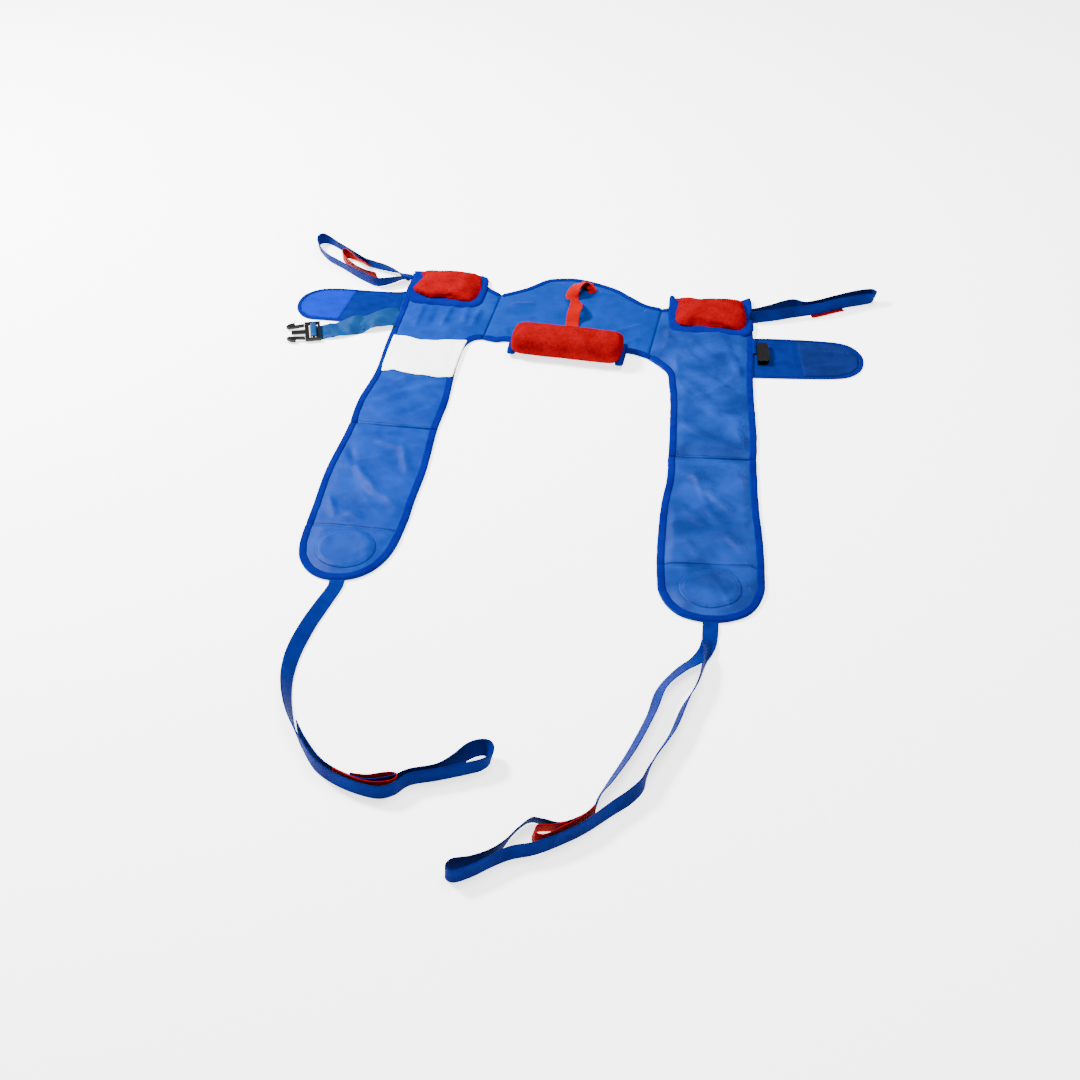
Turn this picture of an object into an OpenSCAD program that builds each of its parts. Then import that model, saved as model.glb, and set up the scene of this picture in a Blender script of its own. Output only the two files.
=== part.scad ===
// Patient lifting belt and sling with padded leg pieces, laid flat on a table.
// Millimetres, +Z up, +Y away from the user, origin under the middle of the back section.

/* [Leg pieces] */
// Length of each leg piece, top edge to rounded end
leg_len = 957; // [800:1:1150]
// Width of a leg piece near its top
leg_w = 152; // [130:1:190]
// How much wider the leg piece gets towards its end
leg_flare = 18; // [0:1:30]
// Length of the rounded end of a leg piece
leg_end_round = 105; // [70:1:130]
// Distance from the top edge to the cross seam where the leg folds
leg_fold_v = 530; // [430:1:600]
// Diameter of the stitched reinforcing disc
disc_d = 100; // [60:1:120]
// Distance from the rounded end to the middle of the disc
disc_from_end = 75; // [65:1:100]

/* [Back section] */
// Width of the back section between its side seams
back_w = 320; // [280:1:400]
// Height of the back section at its middle
back_h = 254; // [220:1:320]
// Length of the padded roll on the lower edge
roll_len = 210; // [150:1:240]
// Depth of the padded roll, front to back
roll_depth = 84; // [60:1:100]
// Height of the padded roll
roll_h = 50; // [36:1:64]

/* [Fabric] */
// Thickness of the outer fabric and of the lining
cloth_t = 0.6; // [0.4:0.1:1]
// Thickness of the foam between them
foam_t = 3.8; // [3:0.1:6]
// Thickness of the edge binding tape
binding_t = 0.8; // [0.5:0.1:1.2]
// Width of the edge binding that shows on each face
binding_w = 10; // [6:0.5:14]

/* [Arm pads] */
// Width of an arm pad across the leg piece
pad_w = 143; // [110:1:150]
// Length of an arm pad down the leg piece
pad_len = 122; // [90:1:130]
// Height of the cushion above the panel
pad_h = 19; // [12:1:28]

/* [Belt] */
// Width of a belt wing
wing_w = 118; // [100:1:124]
// Length of the left wing past the panel edge
left_wing_len = 200; // [170:1:230]
// Length of the right wing past the panel edge
right_wing_len = 206; // [170:1:230]
// Thickness of a belt wing
wing_t = 2.2; // [1.6:0.1:2.2]
// Width of the belt webbing
belt_web_w = 50; // [38:1:52]
// Thickness of the belt webbing
belt_web_t = 1.6; // [1.2:0.1:1.8]

/* [Buckle] */
// Width of both buckle halves
buckle_w = 62; // [60:1:66]
// Thickness of both buckle halves
buckle_t = 10; // [9:0.5:12]

/* [Loop webbing] */
// Width of the loop webbing
web_w = 25; // [20:0.5:25]
// Thickness of the loop webbing
web_t = 1.8; // [1.2:0.1:2]

/* [Care label] */
// Width of the blank care label
label_w = 137; // [90:1:140]
// Length of the blank care label
label_l = 126; // [80:1:150]

/* [Hidden] */

FABRIC = "steelblue";
BINDING = "mediumblue";
RED = "firebrick";
BLACK = [0.08, 0.08, 0.08];
BIG = 4000;

// Where each flat piece lies on the table: [x, y, turn]
BACK_AT = [-10, 2, -11.4];
LEFT_AT = [-239, 253, -8.6];
RIGHT_AT = [275, 161, -4.4];

// Heights in the panel
foam_z = cloth_t;
outer_z = foam_z + foam_t;
top_z = outer_z + cloth_t;
edge_z = top_z + binding_t;
seam_gap = 0.2;

function turned(p, a) = [p.x*cos(a) - p.y*sin(a), p.x*sin(a) + p.y*cos(a)];
function placed(at, p) = [at.x, at.y] + turned(p, at.z);
function unplaced(at, p) = turned(p - [at.x, at.y], -at.z);
function unit(v) = v / norm(v);
function last(list) = list[len(list) - 1];

// A smooth curve through hand-chosen points, any number of values a point
function curve_at(a, b, c, d, t) =
    0.5*(2*b + (c - a)*t + (2*a - 5*b + 4*c - d)*t*t + (3*b - a - 3*c + d)*t*t*t);
function smooth(p, steps) = concat(
    [for (i = [0:len(p) - 2], k = [0:steps - 1])
        curve_at(p[max(i - 1, 0)], p[i], p[i + 1], p[min(i + 2, len(p) - 1)], k/steps)],
    [last(p)]);

// A path moved sideways to its right by d, with sharp corners kept sharp
function step(p, i) = unit(p[i + 1] - p[i]);
function beside(p, d) = [for (i = [0:len(p) - 1])
    let (a = step(p, max(i - 1, 0)), b = step(p, min(i, len(p) - 2)), m = unit(a + b))
    p[i] + d/(m*a)*[m.y, -m.x]];
function reversed(p) = [for (i = [len(p) - 1:-1:0]) p[i]];

module strip(path, from, to) {
    polygon(concat(beside(path, from), reversed(beside(path, to))));
}

// Folded tape over a panel's edge; the panel lies on the path's right side
module bound_edge(path) {
    linear_extrude(cloth_t) strip(path, 0, binding_w);
    linear_extrude(edge_z) strip(path, 0, binding_t);
    translate([0, 0, top_z]) linear_extrude(binding_t) strip(path, 0, binding_w);
}

module slab(z, t) {
    translate([0, 0, z]) linear_extrude(t) children();
}

// ---- Webbing: a flat band swept along a route of [x, y, z, roll] rows.
// Roll 0 lies flat, roll 90 stands on its edge.
function xyz(r) = [r[0], r[1], r[2]];
function heading(r, i) = unit(xyz(r[min(i + 1, len(r) - 1)]) - xyz(r[max(i - 1, 0)]));
function across(h) = unit(cross(h, [0, 0, 1]));
function ring(r, i, w, t) =
    let (h = heading(r, i), n = across(h), u = cross(n, h),
         wide = cos(r[i][3])*n + sin(r[i][3])*u, thick = cross(h, wide), c = xyz(r[i]))
    [c + wide*w/2 + thick*t/2, c - wide*w/2 + thick*t/2,
     c - wide*w/2 - thick*t/2, c + wide*w/2 - thick*t/2];

// A row raised, where it needs it, so that the band stays above the table
function above_table(q, w, t) =
    [q[0], q[1], max(q[2], w/2*abs(sin(q[3])) + t/2*abs(cos(q[3])) + 0.1), q[3]];

module webbing(route, w, t, steps = 3) {
    r = [for (q = smooth(route, steps)) above_table(q, w, t)];
    n = len(r);
    points = [for (i = [0:n - 1]) each ring(r, i, w, t)];
    sides = [for (i = [0:n - 2], k = [0:3])
        let (a = 4*i + k, b = 4*i + (k + 1)%4) each [[a, a + 4, b + 4], [a, b + 4, b]]];
    last_ring = 4*(n - 1);
    caps = [[0, 1, 2], [0, 2, 3], [last_ring, last_ring + 2, last_ring + 1],
            [last_ring, last_ring + 3, last_ring + 2]];
    polyhedron(points, concat(sides, caps));
}

// ---- Leg pieces, in their own frame: origin mid top edge, -Y down the leg
function ease(t) = let (s = min(max(t, 0), 1)) s*s*(3 - 2*s);
function half_w(v) = leg_w/2 + leg_flare/2*ease((v - leg_fold_v + 40)/(leg_len - leg_fold_v - 140));
round_v = leg_len - leg_end_round;
// One side of the leg from v0 to v1, running down the leg
function leg_side(side, v0, v1) = [for (k = [0:6]) let (v = v0 + (v1 - v0)*k/6) [side*half_w(v), -v]];
// The rounded end from the +X side to the -X side
function leg_end() = [for (a = [0:7.5:180])
    [half_w(round_v)*cos(a), -round_v - leg_end_round*sin(a)]];

// Free edge of a lower leg piece, from the fold at +X round the end to the fold at -X
function lower_edge() = concat(
    leg_side(1, leg_fold_v + seam_gap, round_v - 6), leg_end(),
    reversed(leg_side(-1, leg_fold_v + seam_gap, round_v - 6)));

// ---- Back section, in its own frame
seam_x = back_w/2;
back_low = -16;
back_shoulder_l = 150;
back_shoulder_r = 160;
back_scale = (back_h + back_low)/238;
function back_top_edge() = smooth([
    [-seam_x, back_shoulder_l], [-seam_x + 18, back_shoulder_l + 12],
    [-112, 187*back_scale], [-84, 221*back_scale], [-62, 232*back_scale], [-24, 238*back_scale],
    [18, 230*back_scale], [62, 214*back_scale], [94, 190*back_scale],
    [seam_x - 32, back_shoulder_r + 7], [seam_x, back_shoulder_r]], 3);
function back_low_edge() = smooth([
    [seam_x, back_low - 6], [seam_x - 40, back_low], [0, back_low],
    [-seam_x + 22, back_low - 3], [-seam_x, back_low - 1]], 4);

module back_zone() {
    translate([-seam_x + seam_gap, -BIG/2]) square([back_w - 2*seam_gap, BIG]);
}
module back_shape(inset) {
    intersection() {
        polygon(concat(beside(back_top_edge(), inset), beside(back_low_edge(), inset)));
        back_zone();
    }
}
module on_back() {
    translate([BACK_AT.x, BACK_AT.y, 0]) rotate(BACK_AT.z) children();
}
module on_leg(at) {
    translate([at.x, at.y, 0]) rotate(at.z) children();
}

// The padded roll's section, a flattened round standing on the table
roll_y = back_low - 9;
roll_wall = 1;
roll_tape = 10;
function roll_section(in) = [for (a = [0:7.5:352.5]) let (c = cos(a), s = sin(a))
    [roll_y + (roll_depth/2 - in)*sign(c)*pow(abs(c), 0.85),
     roll_h/2 + (roll_h/2 - in)*sign(s)*pow(abs(s), 0.85)]];
module roll_bar(length, in) {
    rotate([90, 0, 90]) linear_extrude(length, center = true) polygon(roll_section(in));
}
// Room in the roll for the lower edge of the back section
module roll_slot() {
    translate([-BIG/2, back_low - 8, -1]) cube([BIG, BIG, edge_z + 1.3]);
}

module back_outer_fabric() color(FABRIC) on_back() slab(outer_z, cloth_t) back_shape(binding_t);
module back_foam() color("white") on_back() slab(foam_z, foam_t) back_shape(binding_t);
module back_lining() color(FABRIC) on_back() slab(0, cloth_t) back_shape(binding_w);
module back_top_binding() color(BINDING) on_back() intersection() {
    bound_edge(back_top_edge());
    linear_extrude(BIG) back_zone();
}
module back_lower_binding() color(BINDING) on_back() intersection() {
    bound_edge(back_low_edge());
    linear_extrude(BIG) back_zone();
}
module back_roll_cover() color(RED) on_back() difference() {
    roll_bar(roll_len - 2*roll_tape, 0);
    roll_bar(roll_len, roll_wall);
    roll_slot();
}
module back_roll_foam() color("white") on_back() difference() {
    roll_bar(roll_len - 2*roll_wall, roll_wall);
    roll_slot();
}
module back_roll_end_binding() color(BINDING) on_back() for (side = [-1, 1]) difference() {
    translate([side*(roll_len - roll_tape)/2, 0, 0]) roll_bar(roll_tape, 0);
    roll_bar(roll_len - 2*roll_wall, roll_wall);
    roll_slot();
}

// The carrying handle: webbing sewn down at both ends with two humps between
handle_z = edge_z + web_t/2 + 0.1;
HANDLE = [
    [-16, 224, 1, 0], [-15, 214, 1, 0], [-14, 203, 9, 0], [-13, 190, 20, 0], [-10, 174, 20, 0],
    [-8, 158, 12, 0], [-6, 144, 9, 0], [-4, 128, 16, 0], [-2, 112, 22, 0], [0, 94, 24, 0],
    [1, 76, 16, 0], [2, 62, 4, 0], [2, 50, 1, 0], [3, 30, 1, 0]];
module grab_handle() color(RED) on_back()
    webbing([for (p = HANDLE) [p[0], p[1], handle_z - 1 + p[2], p[3]]], web_w, web_t);

// ---- Side panels: each joins the back section's seam to the upper leg
function back_point(p) = placed(BACK_AT, p);
left_seam_top = back_point([-seam_x - seam_gap, back_shoulder_l]);
left_seam_low = back_point([-seam_x - seam_gap, back_low - 1]);
right_seam_top = back_point([seam_x + seam_gap, back_shoulder_r]);
right_seam_low = back_point([seam_x + seam_gap, back_low - 6]);

// Free edges in the leg's own frame; the panel lies on each path's right side.
// They run a little past the seams, where the panel is cut.
past_seam = 14;
past_v = leg_fold_v + past_seam;
left_neck = unplaced(LEFT_AT, left_seam_top);
left_neck_end = unplaced(LEFT_AT, back_point([-seam_x + past_seam, back_shoulder_l + 9]));
left_crotch = unplaced(LEFT_AT, left_seam_low);
left_crotch_start = unplaced(LEFT_AT, back_point([-seam_x + past_seam, back_low - 2]));
left_upper_edge = concat(
    [for (k = [0:6]) [-leg_w/2, -past_v*(6 - k)/6]],
    smooth([[leg_w/2, 0], [leg_w/2 + 1, -30], [left_neck.x - 14, left_neck.y + 12],
        left_neck, left_neck_end], 3));
left_inner_edge = smooth([
    left_crotch_start, left_crotch, [left_crotch.x - 14, left_crotch.y - 1],
    [leg_w/2 + 4, left_crotch.y - 18], [leg_w/2, left_crotch.y - 42],
    [leg_w/2, (left_crotch.y - leg_fold_v)/2], [leg_w/2, -past_v]], 3);

right_neck = unplaced(RIGHT_AT, right_seam_top);
right_neck_start = unplaced(RIGHT_AT, back_point([seam_x - past_seam, back_shoulder_r + 3]));
right_crotch = unplaced(RIGHT_AT, right_seam_low);
right_crotch_end = unplaced(RIGHT_AT, back_point([seam_x - past_seam, back_low - 4]));
right_upper_edge = concat(
    smooth([right_neck_start, right_neck, [right_neck.x + 12, right_neck.y - 2],
        [-leg_w/2, right_neck.y + 14], [-leg_w/2, 0]], 3),
    [for (k = [0:6]) [leg_w/2, -past_v*k/6]]);
right_inner_edge = smooth([
    [-leg_w/2, -past_v], [-leg_w/2, (right_crotch.y - leg_fold_v)/2],
    [-leg_w/2, right_crotch.y - 60], [-leg_w/2 - 6, right_crotch.y - 30],
    [right_crotch.x + 10, right_crotch.y - 7], right_crotch, right_crotch_end], 3);

module panel_shape(edges, inset, at, side) {
    intersection() {
        polygon([for (e = edges) each beside(e, inset)]);
        unplace(at) on_back_plan() beyond_seam(side);
        translate([-BIG/2, -leg_fold_v + seam_gap]) square(BIG);
    }
}
// Everything in the back section's plane past its left or right seam
module beyond_seam(side) {
    x = seam_x + seam_gap;
    translate([side > 0 ? x : -BIG - x, -BIG/2]) square(BIG);
}
module unplace(at) {
    rotate(-at.z) translate([-at.x, -at.y]) children();
}
module on_back_plan() {
    translate([BACK_AT.x, BACK_AT.y]) rotate(BACK_AT.z) children();
}
LEFT_EDGES = [left_upper_edge, left_inner_edge];
RIGHT_EDGES = [right_inner_edge, right_upper_edge];

module panel_outer(edges, at, side) on_leg(at)
    slab(outer_z, cloth_t) panel_shape(edges, binding_t, at, side);
module panel_foam(edges, at, side) on_leg(at)
    slab(foam_z, foam_t) panel_shape(edges, binding_t, at, side);
module panel_lining(edges, at, side) on_leg(at)
    slab(0, cloth_t) panel_shape(edges, binding_w, at, side);
module panel_binding(edges, at, side) on_leg(at) intersection() {
    for (e = edges) bound_edge(e);
    linear_extrude(BIG) panel_shape(edges, 0, at, side);
}

// Lower leg piece, its disc and the webbing sewn inside it
anchor_len = 120;
anchor_z = foam_z + 1;
anchor_room = 0.1;
module anchor_hole() {
    translate([-web_w/2 - anchor_room, -leg_len - 20, anchor_z - anchor_room])
        cube([web_w + 2*anchor_room, anchor_len + 20 + anchor_room, web_t + 2*anchor_room]);
}
module lower_shape(inset) {
    polygon(beside(lower_edge(), inset));
}
module leg_outer(at) on_leg(at) slab(outer_z, cloth_t) lower_shape(binding_t);
module leg_foam(at) on_leg(at) difference() {
    slab(foam_z, foam_t) lower_shape(binding_t);
    anchor_hole();
}
module leg_lining(at) on_leg(at) slab(0, cloth_t) lower_shape(binding_w);
module leg_binding(at) on_leg(at) difference() {
    bound_edge(lower_edge());
    anchor_hole();
}
module reinforcing_disc(at) on_leg(at)
    translate([0, disc_from_end - leg_len, top_z]) cylinder(d = disc_d, h = cloth_t, $fn = 72);
module strap_anchor(at) on_leg(at)
    translate([-web_w/2, -leg_len, anchor_z]) cube([web_w, anchor_len, web_t]);

// Arm pad: a cushion over the top of the panel, its blue tape on three sides
pad_wall = 1;
pad_tape = 13;
pad_round = 22;
module pad_plan(in, tape) {
    x = pad_w/2 - in - tape;
    y0 = -pad_len + in + tape;
    hull_round = pad_round - in;
    polygon(concat(
        [[x, 5 - in], [-x, 5 - in]],
        [for (a = [180:15:270]) [-x + hull_round + hull_round*cos(a), y0 + hull_round + hull_round*sin(a)]],
        [for (a = [270:15:360]) [x - hull_round + hull_round*cos(a), y0 + hull_round + hull_round*sin(a)]]));
}
// Side view of the cushion, swelling in the middle and falling to the table past the top edge
function pad_profile(in) = concat(
    [[5 - in, top_z]], [for (a = [0:15:90]) [-9 + (14 - in)*cos(a), top_z + (pad_h - in)*sin(a)]],
    [for (a = [0:10:90]) [-pad_len + 40 - (40 - in - pad_tape)*sin(a),
        top_z + (pad_h - in)*(0.35 + 0.65*cos(a))]],
    [[-pad_len + in + pad_tape, top_z]]);
module pad_solid(in) {
    intersection() {
        linear_extrude(BIG) pad_plan(in, pad_tape);
        rotate([90, 0, 90]) linear_extrude(BIG, center = true) polygon(pad_profile(in));
    }
}
module on_pad(at, turn) {
    on_leg(at) rotate(turn) children();
}
module arm_pad_cover(at, turn) on_pad(at, turn) difference() {
    pad_solid(0);
    difference() {
        pad_solid(pad_wall);
        translate([-BIG/2, -BIG/2, 0]) cube([BIG, BIG, edge_z]);
    }
    translate([-BIG/2, -BIG/2, -1]) cube([BIG, BIG, edge_z + 1]);
}
module arm_pad_foam(at, turn) on_pad(at, turn) difference() {
    pad_solid(pad_wall);
    translate([-BIG/2, -BIG/2, -1]) cube([BIG, BIG, edge_z + 1]);
}
module arm_pad_binding(at, turn) on_pad(at, turn)
    translate([0, 0, edge_z]) linear_extrude(2.4) difference() {
        pad_plan(0, 0);
        pad_plan(0, pad_tape);
        translate([-BIG/2, -2]) square(BIG);
    }

label_v = 305;
module care_label() color("white") on_leg(LEFT_AT) difference() {
    translate([4.5 - label_w/2, -label_v - label_l/2, top_z]) cube([label_w, label_l, 1.2]);
    bound_edge(left_inner_edge);
    bound_edge(left_upper_edge);
}

// ---- Belt wings, in the leg's frame of their side
left_wing_v = 131;
right_wing_v = 206;
wing_tape_t = 0.5;
edge_room = 0.4;
module on_wing(at, side, v, turn) {
    on_leg(at) translate([side*(leg_w/2 + edge_room), -v, 0]) rotate(turn) scale_side(side) children();
}
module scale_side(side) {
    if (side < 0) mirror([1, 0, 0]) children();
    else children();
}
// Wing outline lying along +X from its root, with a rounded tip
function wing_points(l, in) = let (r = wing_w/2) concat(
    [[0, -r + in]], [for (a = [-90:10:90]) [l - r*0.9 + (r*0.9 - in)*cos(a), (r - in)*sin(a)]],
        [[0, r - in]]);
wing_tape_w = 12;
module belt_wing(l) {
    linear_extrude(wing_t) polygon(wing_points(l, wing_tape_t));
}
module wing_binding(l) {
    difference() {
        linear_extrude(wing_t + wing_tape_t) polygon(wing_points(l, 0));
        linear_extrude(wing_t) polygon(wing_points(l, wing_tape_t));
        translate([-1, 0, 0]) linear_extrude(BIG) polygon(wing_points(l + 1, wing_tape_w));
    }
}
patch_len = 105;
module wing_patch(l, length) {
    slab(wing_t, wing_tape_t) intersection() {
        polygon(wing_points(l, wing_tape_w + 0.2));
        translate([l - length, -BIG/2]) square(BIG);
    }
}
left_wing_turn = 6.5;
right_wing_turn = 2;
module on_left_wing() {
    on_wing(LEFT_AT, -1, left_wing_v, left_wing_turn) children();
}
module on_right_wing() {
    on_wing(RIGHT_AT, 1, right_wing_v, right_wing_turn) children();
}
module past_panel(at, side) {
    intersection() {
        children();
        on_leg(at) translate([side > 0 ? leg_w/2 + edge_room : -BIG - leg_w/2 - edge_room, -BIG/2, -1])
            cube(BIG);
    }
}

// ---- Belt strap and male buckle on the left wing
belt_z = wing_t + wing_tape_t + 0.4 + belt_web_t/2;
BELT_ROUTE = [[-330, 86], [-372, 76], [-406, 65], [-442, 48], [-470, 44]];
web_tail = 22.5;
web_gap = 0.5;
module belt_strap() color("teal") past_panel(LEFT_AT, -1) difference() {
    webbing([for (p = BELT_ROUTE) [p.x, p.y, belt_z, 0]], belt_web_w, belt_web_t);
    on_buckle() translate([-web_tail - web_gap, -BIG/2, -BIG/2]) cube(BIG);
}

BUCKLE_AT = [-482, 42, 188];
module on_buckle() {
    translate([BUCKLE_AT.x, BUCKLE_AT.y, 0]) rotate(BUCKLE_AT.z) children();
}
frame_len = 30;
frame_t = 6;
bar = 5;
web_slot = 6;
buckle_mid_z = buckle_t/2 + 0.6;
slot_w = buckle_w - 2*bar;
// Ladder frame with two webbing slots; +X points to the prong tips
module male_buckle_frame() color(BLACK) on_buckle() {
    translate([0, -buckle_w/2, buckle_mid_z - frame_t/2]) difference() {
        cube([frame_len, buckle_w, frame_t]);
        for (x = [bar, 2*bar + web_slot])
            translate([x, bar, -1]) cube([web_slot, slot_w, frame_t + 2]);
    }
    translate([frame_len, -5, buckle_mid_z - 2]) cube([26, 10, 4]);
}
// A band seen from its side: a path of [x, z] points, made w wide along Y and t thick
module side_band(path, w, t) {
    rotate([90, 0, 0]) linear_extrude(w, center = true) strip(path, -t/2, t/2);
}
// Webbing wound over the middle bar, both ends coming out behind the frame
module buckle_webbing() color("teal") on_buckle() {
    under = belt_web_t/2 + 0.4;
    high = buckle_mid_z + frame_t/2 + belt_web_t/2 + 0.4;
    x1 = bar + web_slot/2;
    x2 = 2*bar + web_slot*1.5;
    side_band(smooth([[-web_tail, belt_z], [-9, belt_z - 0.4], [-1, under],
        [x1 - 2.2, under + 0.4], [x1, under + 3],
        [x1, high - 2.6], [x1 + 2, high], [x2 - 2, high], [x2, high - 2.6], [x2, under + 1.5]], 3),
        slot_w - 2, belt_web_t);
}
prong_x = frame_len + 0.3;
prong_len = 35;
// One springy side arm with its hook head, on the +Y side
module prong() {
    translate([prong_x, 0, buckle_mid_z - frame_t/2]) linear_extrude(frame_t) polygon([
        [0, 20], [22, 17.5], [30, 16.5], [prong_len, 20], [prong_len, 23],
        [28, buckle_w/2 - 2], [20, buckle_w/2], [18, buckle_w/2], [17.5, 23], [0, 25.5]]);
}
module buckle_prong_upper() color(BLACK) on_buckle() mirror([0, 1, 0]) prong();
module buckle_prong_lower() color(BLACK) on_buckle() prong();

// ---- Female buckle on its short tab, lying on the right wing
female_len = 30;
female_tab = 5;
female_y = 40;
female_z = wing_t + wing_tape_t + 0.3;
female_wall = 1.6;
tab_room = 1.5;
female_round = 8;
module female_outline() {
    x = female_len - female_round;
    y = buckle_w/2 - female_round;
    polygon(concat(
        [[0, -buckle_w/2], [0, buckle_w/2]],
        [for (a = [90:-15:0]) [x + female_round*cos(a), y + female_round*sin(a)]],
        [for (a = [0:-15:-90]) [x + female_round*cos(a), -y + female_round*sin(a)]]));
}
// A hollow body open at its mouth, with a window in each side for the hook heads
module female_body() {
    hollow = buckle_t - 2*female_wall;
    difference() {
        linear_extrude(buckle_t) female_outline();
        translate([4, -buckle_w/2 + 5, female_wall]) cube([female_len, buckle_w - 10, hollow]);
        for (side = [-1, 1])
            translate([8, side*(buckle_w/2 - 2) - 4, female_wall]) cube([12, 8, hollow]);
    }
}
module female_buckle() color(BLACK) on_right_wing()
    translate([female_tab, female_y - buckle_w/2, female_z]) female_body();
module female_buckle_tab() color(BINDING) on_right_wing()
    translate([tab_room, female_y - buckle_w/2 - slot_w/2, female_z + 0.2])
        cube([female_tab - tab_room - 0.1, slot_w, belt_web_t]);

// ---- Straps: hand-chosen routes, rows of [x, y, z, roll]
LEFT_LEG_ROUTE = [
    [-383, -695, 2.6, 0], [-386, -713, 2.2, 0], [-403, -760, 3.5, 10], [-419, -808, 7, 32],
    [-432, -865, 11.5, 65],
    [-438, -915, 12.6, 90], [-434, -955, 12.6, 90], [-425, -995, 12.6, 90], [-414, -1030, 12.6, 90],
    [-398, -1065, 12.6, 90], [-374, -1106, 12.6, 90], [-336, -1137, 12.6, 90], [-290, -1156, 12.6, 90],
    [-264, -1151, 12.6, 90], [-242, -1132, 12.6, 90], [-204, -1123, 12.6, 90], [-165, -1112, 12.6, 90],
    [-142, -1104, 12.6, 90], [-130, -1092, 12.6, 90], [-138, -1078, 12.6, 90], [-155, -1084, 12.6, 90],
    [-178, -1105, 12.6, 90], [-204, -1116, 12.6, 90], [-242, -1123, 12.6, 90], [-266, -1136, 12.6, 90],
    [-300, -1142, 12.6, 90], [-334, -1129, 12.6, 90], [-366, -1104, 12.6, 90], [-392, -1064, 12.6, 90],
    [-409, -1028, 12.6, 90]];
LEFT_LEG_RED = [
    [-336, -1133, 12.6, 90], [-312, -1145.5, 12.6, 90], [-291, -1151.5, 12.6, 90], [-274, -1147.5, 12.6, 90],
    [-276, -1142.5, 12.6, 90], [-296, -1146, 12.6, 90]];
RIGHT_LEG_ROUTE = [
    [202, -796, 2.6, 0], [200, -816, 2.4, 0], [195, -838, 5, 40], [189, -862, 9.5, 80],
    [183, -885, 11.5, 105],
    [167, -940, 10.9, 117], [148, -982, 10.9, 117], [127, -1038, 10.9, 117], [103, -1084, 10.9, 113],
    [88, -1118, 12, 100], [80, -1143, 12.6, 90], [62, -1165, 12.6, 90], [37, -1186, 12.6, 90],
    [0, -1219, 12.6, 90],
    [-33, -1240, 12.6, 90], [-67, -1256, 12.6, 90], [-100, -1264, 12.6, 90], [-125, -1278, 12.6, 90],
    [-150, -1294, 12.6, 90], [-174, -1304, 12.6, 90], [-185, -1296, 12.6, 90], [-176, -1287, 12.6, 90],
    [-152, -1283, 12.6, 90], [-128, -1271, 12.6, 90], [-108, -1256, 12.6, 90], [-92, -1232, 12.6, 90],
    [-74, -1210, 12.6, 90], [-56, -1214, 12.6, 90], [-33, -1223, 12.6, 90], [-4, -1210, 12.6, 90],
    [12, -1190, 12.6, 90], [19, -1165, 12.6, 90], [34, -1138, 12.6, 90], [67, -1076, 12.6, 90],
    [98, -1004, 12.6, 90], [116, -950, 12.6, 85], [148, -912, 12.6, 70], [172, -890, 12, 75],
    [182, -862, 12.6, 80]];
RIGHT_LEG_RED = [
    [11, -1201, 12.6, 90], [-6, -1217, 12.6, 90], [-32, -1234, 12.6, 90], [-55, -1244, 12.6, 90],
    [-64, -1236, 12.6, 90], [-58, -1227, 12.6, 90], [-37, -1229.5, 12.6, 90], [-21, -1222, 12.6, 90]];
LEFT_SHOULDER_ROUTE = [
    [-321, 246, 4.6, 180], [-332, 254, 5, 176], [-347, 262, 7.6, 145], [-370, 273, 9.2, 134],
    [-393, 284, 9.2, 134],
    [-413, 296, 9.2, 134], [-434, 320, 9.2, 134], [-455, 343, 9.2, 134], [-472, 361, 9.2, 134],
    [-495, 386, 10, 125], [-512, 393, 12.6, 90], [-521, 378, 12.6, 80], [-515, 352, 10, 60],
    [-497, 318, 9.2, 46],
    [-467, 290, 9.2, 46], [-438, 260, 9.2, 46], [-413, 238, 9.2, 46], [-382, 217, 9.2, 46],
    [-356, 226, 7.6, 35], [-336, 235, 3, 6], [-327, 238, 1.8, 0]];
LEFT_SHOULDER_RED = [
    [-391, 238, 12.6, 92], [-408, 248, 12.6, 92], [-430, 268, 12.6, 92], [-448, 290, 12.6, 92],
    [-460, 312, 12.6, 90], [-462, 323, 12.6, 84], [-451, 322, 11, 64], [-436, 309, 9.6, 50],
    [-419, 290, 9.2, 46], [-405, 279, 9.2, 46]];
RIGHT_SHOULDER_ROUTE = [
    [350, 102, 2.6, 0], [362, 103, 4, 20], [378, 102, 10, 70], [400, 104, 12.6, 90], [430, 112, 12.6, 90],
    [455, 114, 12.6, 90], [482, 119, 12.6, 90], [512, 132, 12.6, 90], [545, 145, 12.6, 90],
    [575, 157, 12.6, 90], [592, 163, 12.6, 90], [595, 170, 12.6, 90], [588, 173, 12.6, 90],
    [560, 164, 12.6, 90],
    [528, 150, 12.6, 90], [500, 137, 12.6, 90], [480, 128, 12.6, 90], [455, 120, 12.6, 90],
    [432, 122, 12.6, 90], [412, 118, 12.6, 90], [392, 110, 12.6, 90]];
RIGHT_SHOULDER_RED = [
    [468, 111, 12.6, 90], [486, 115, 12.6, 90], [505, 122.5, 12.6, 90], [526, 131, 12.6, 90],
    [530, 128, 12.6, 90], [512, 120.5, 12.6, 90], [492, 112.5, 12.6, 90]];

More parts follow.
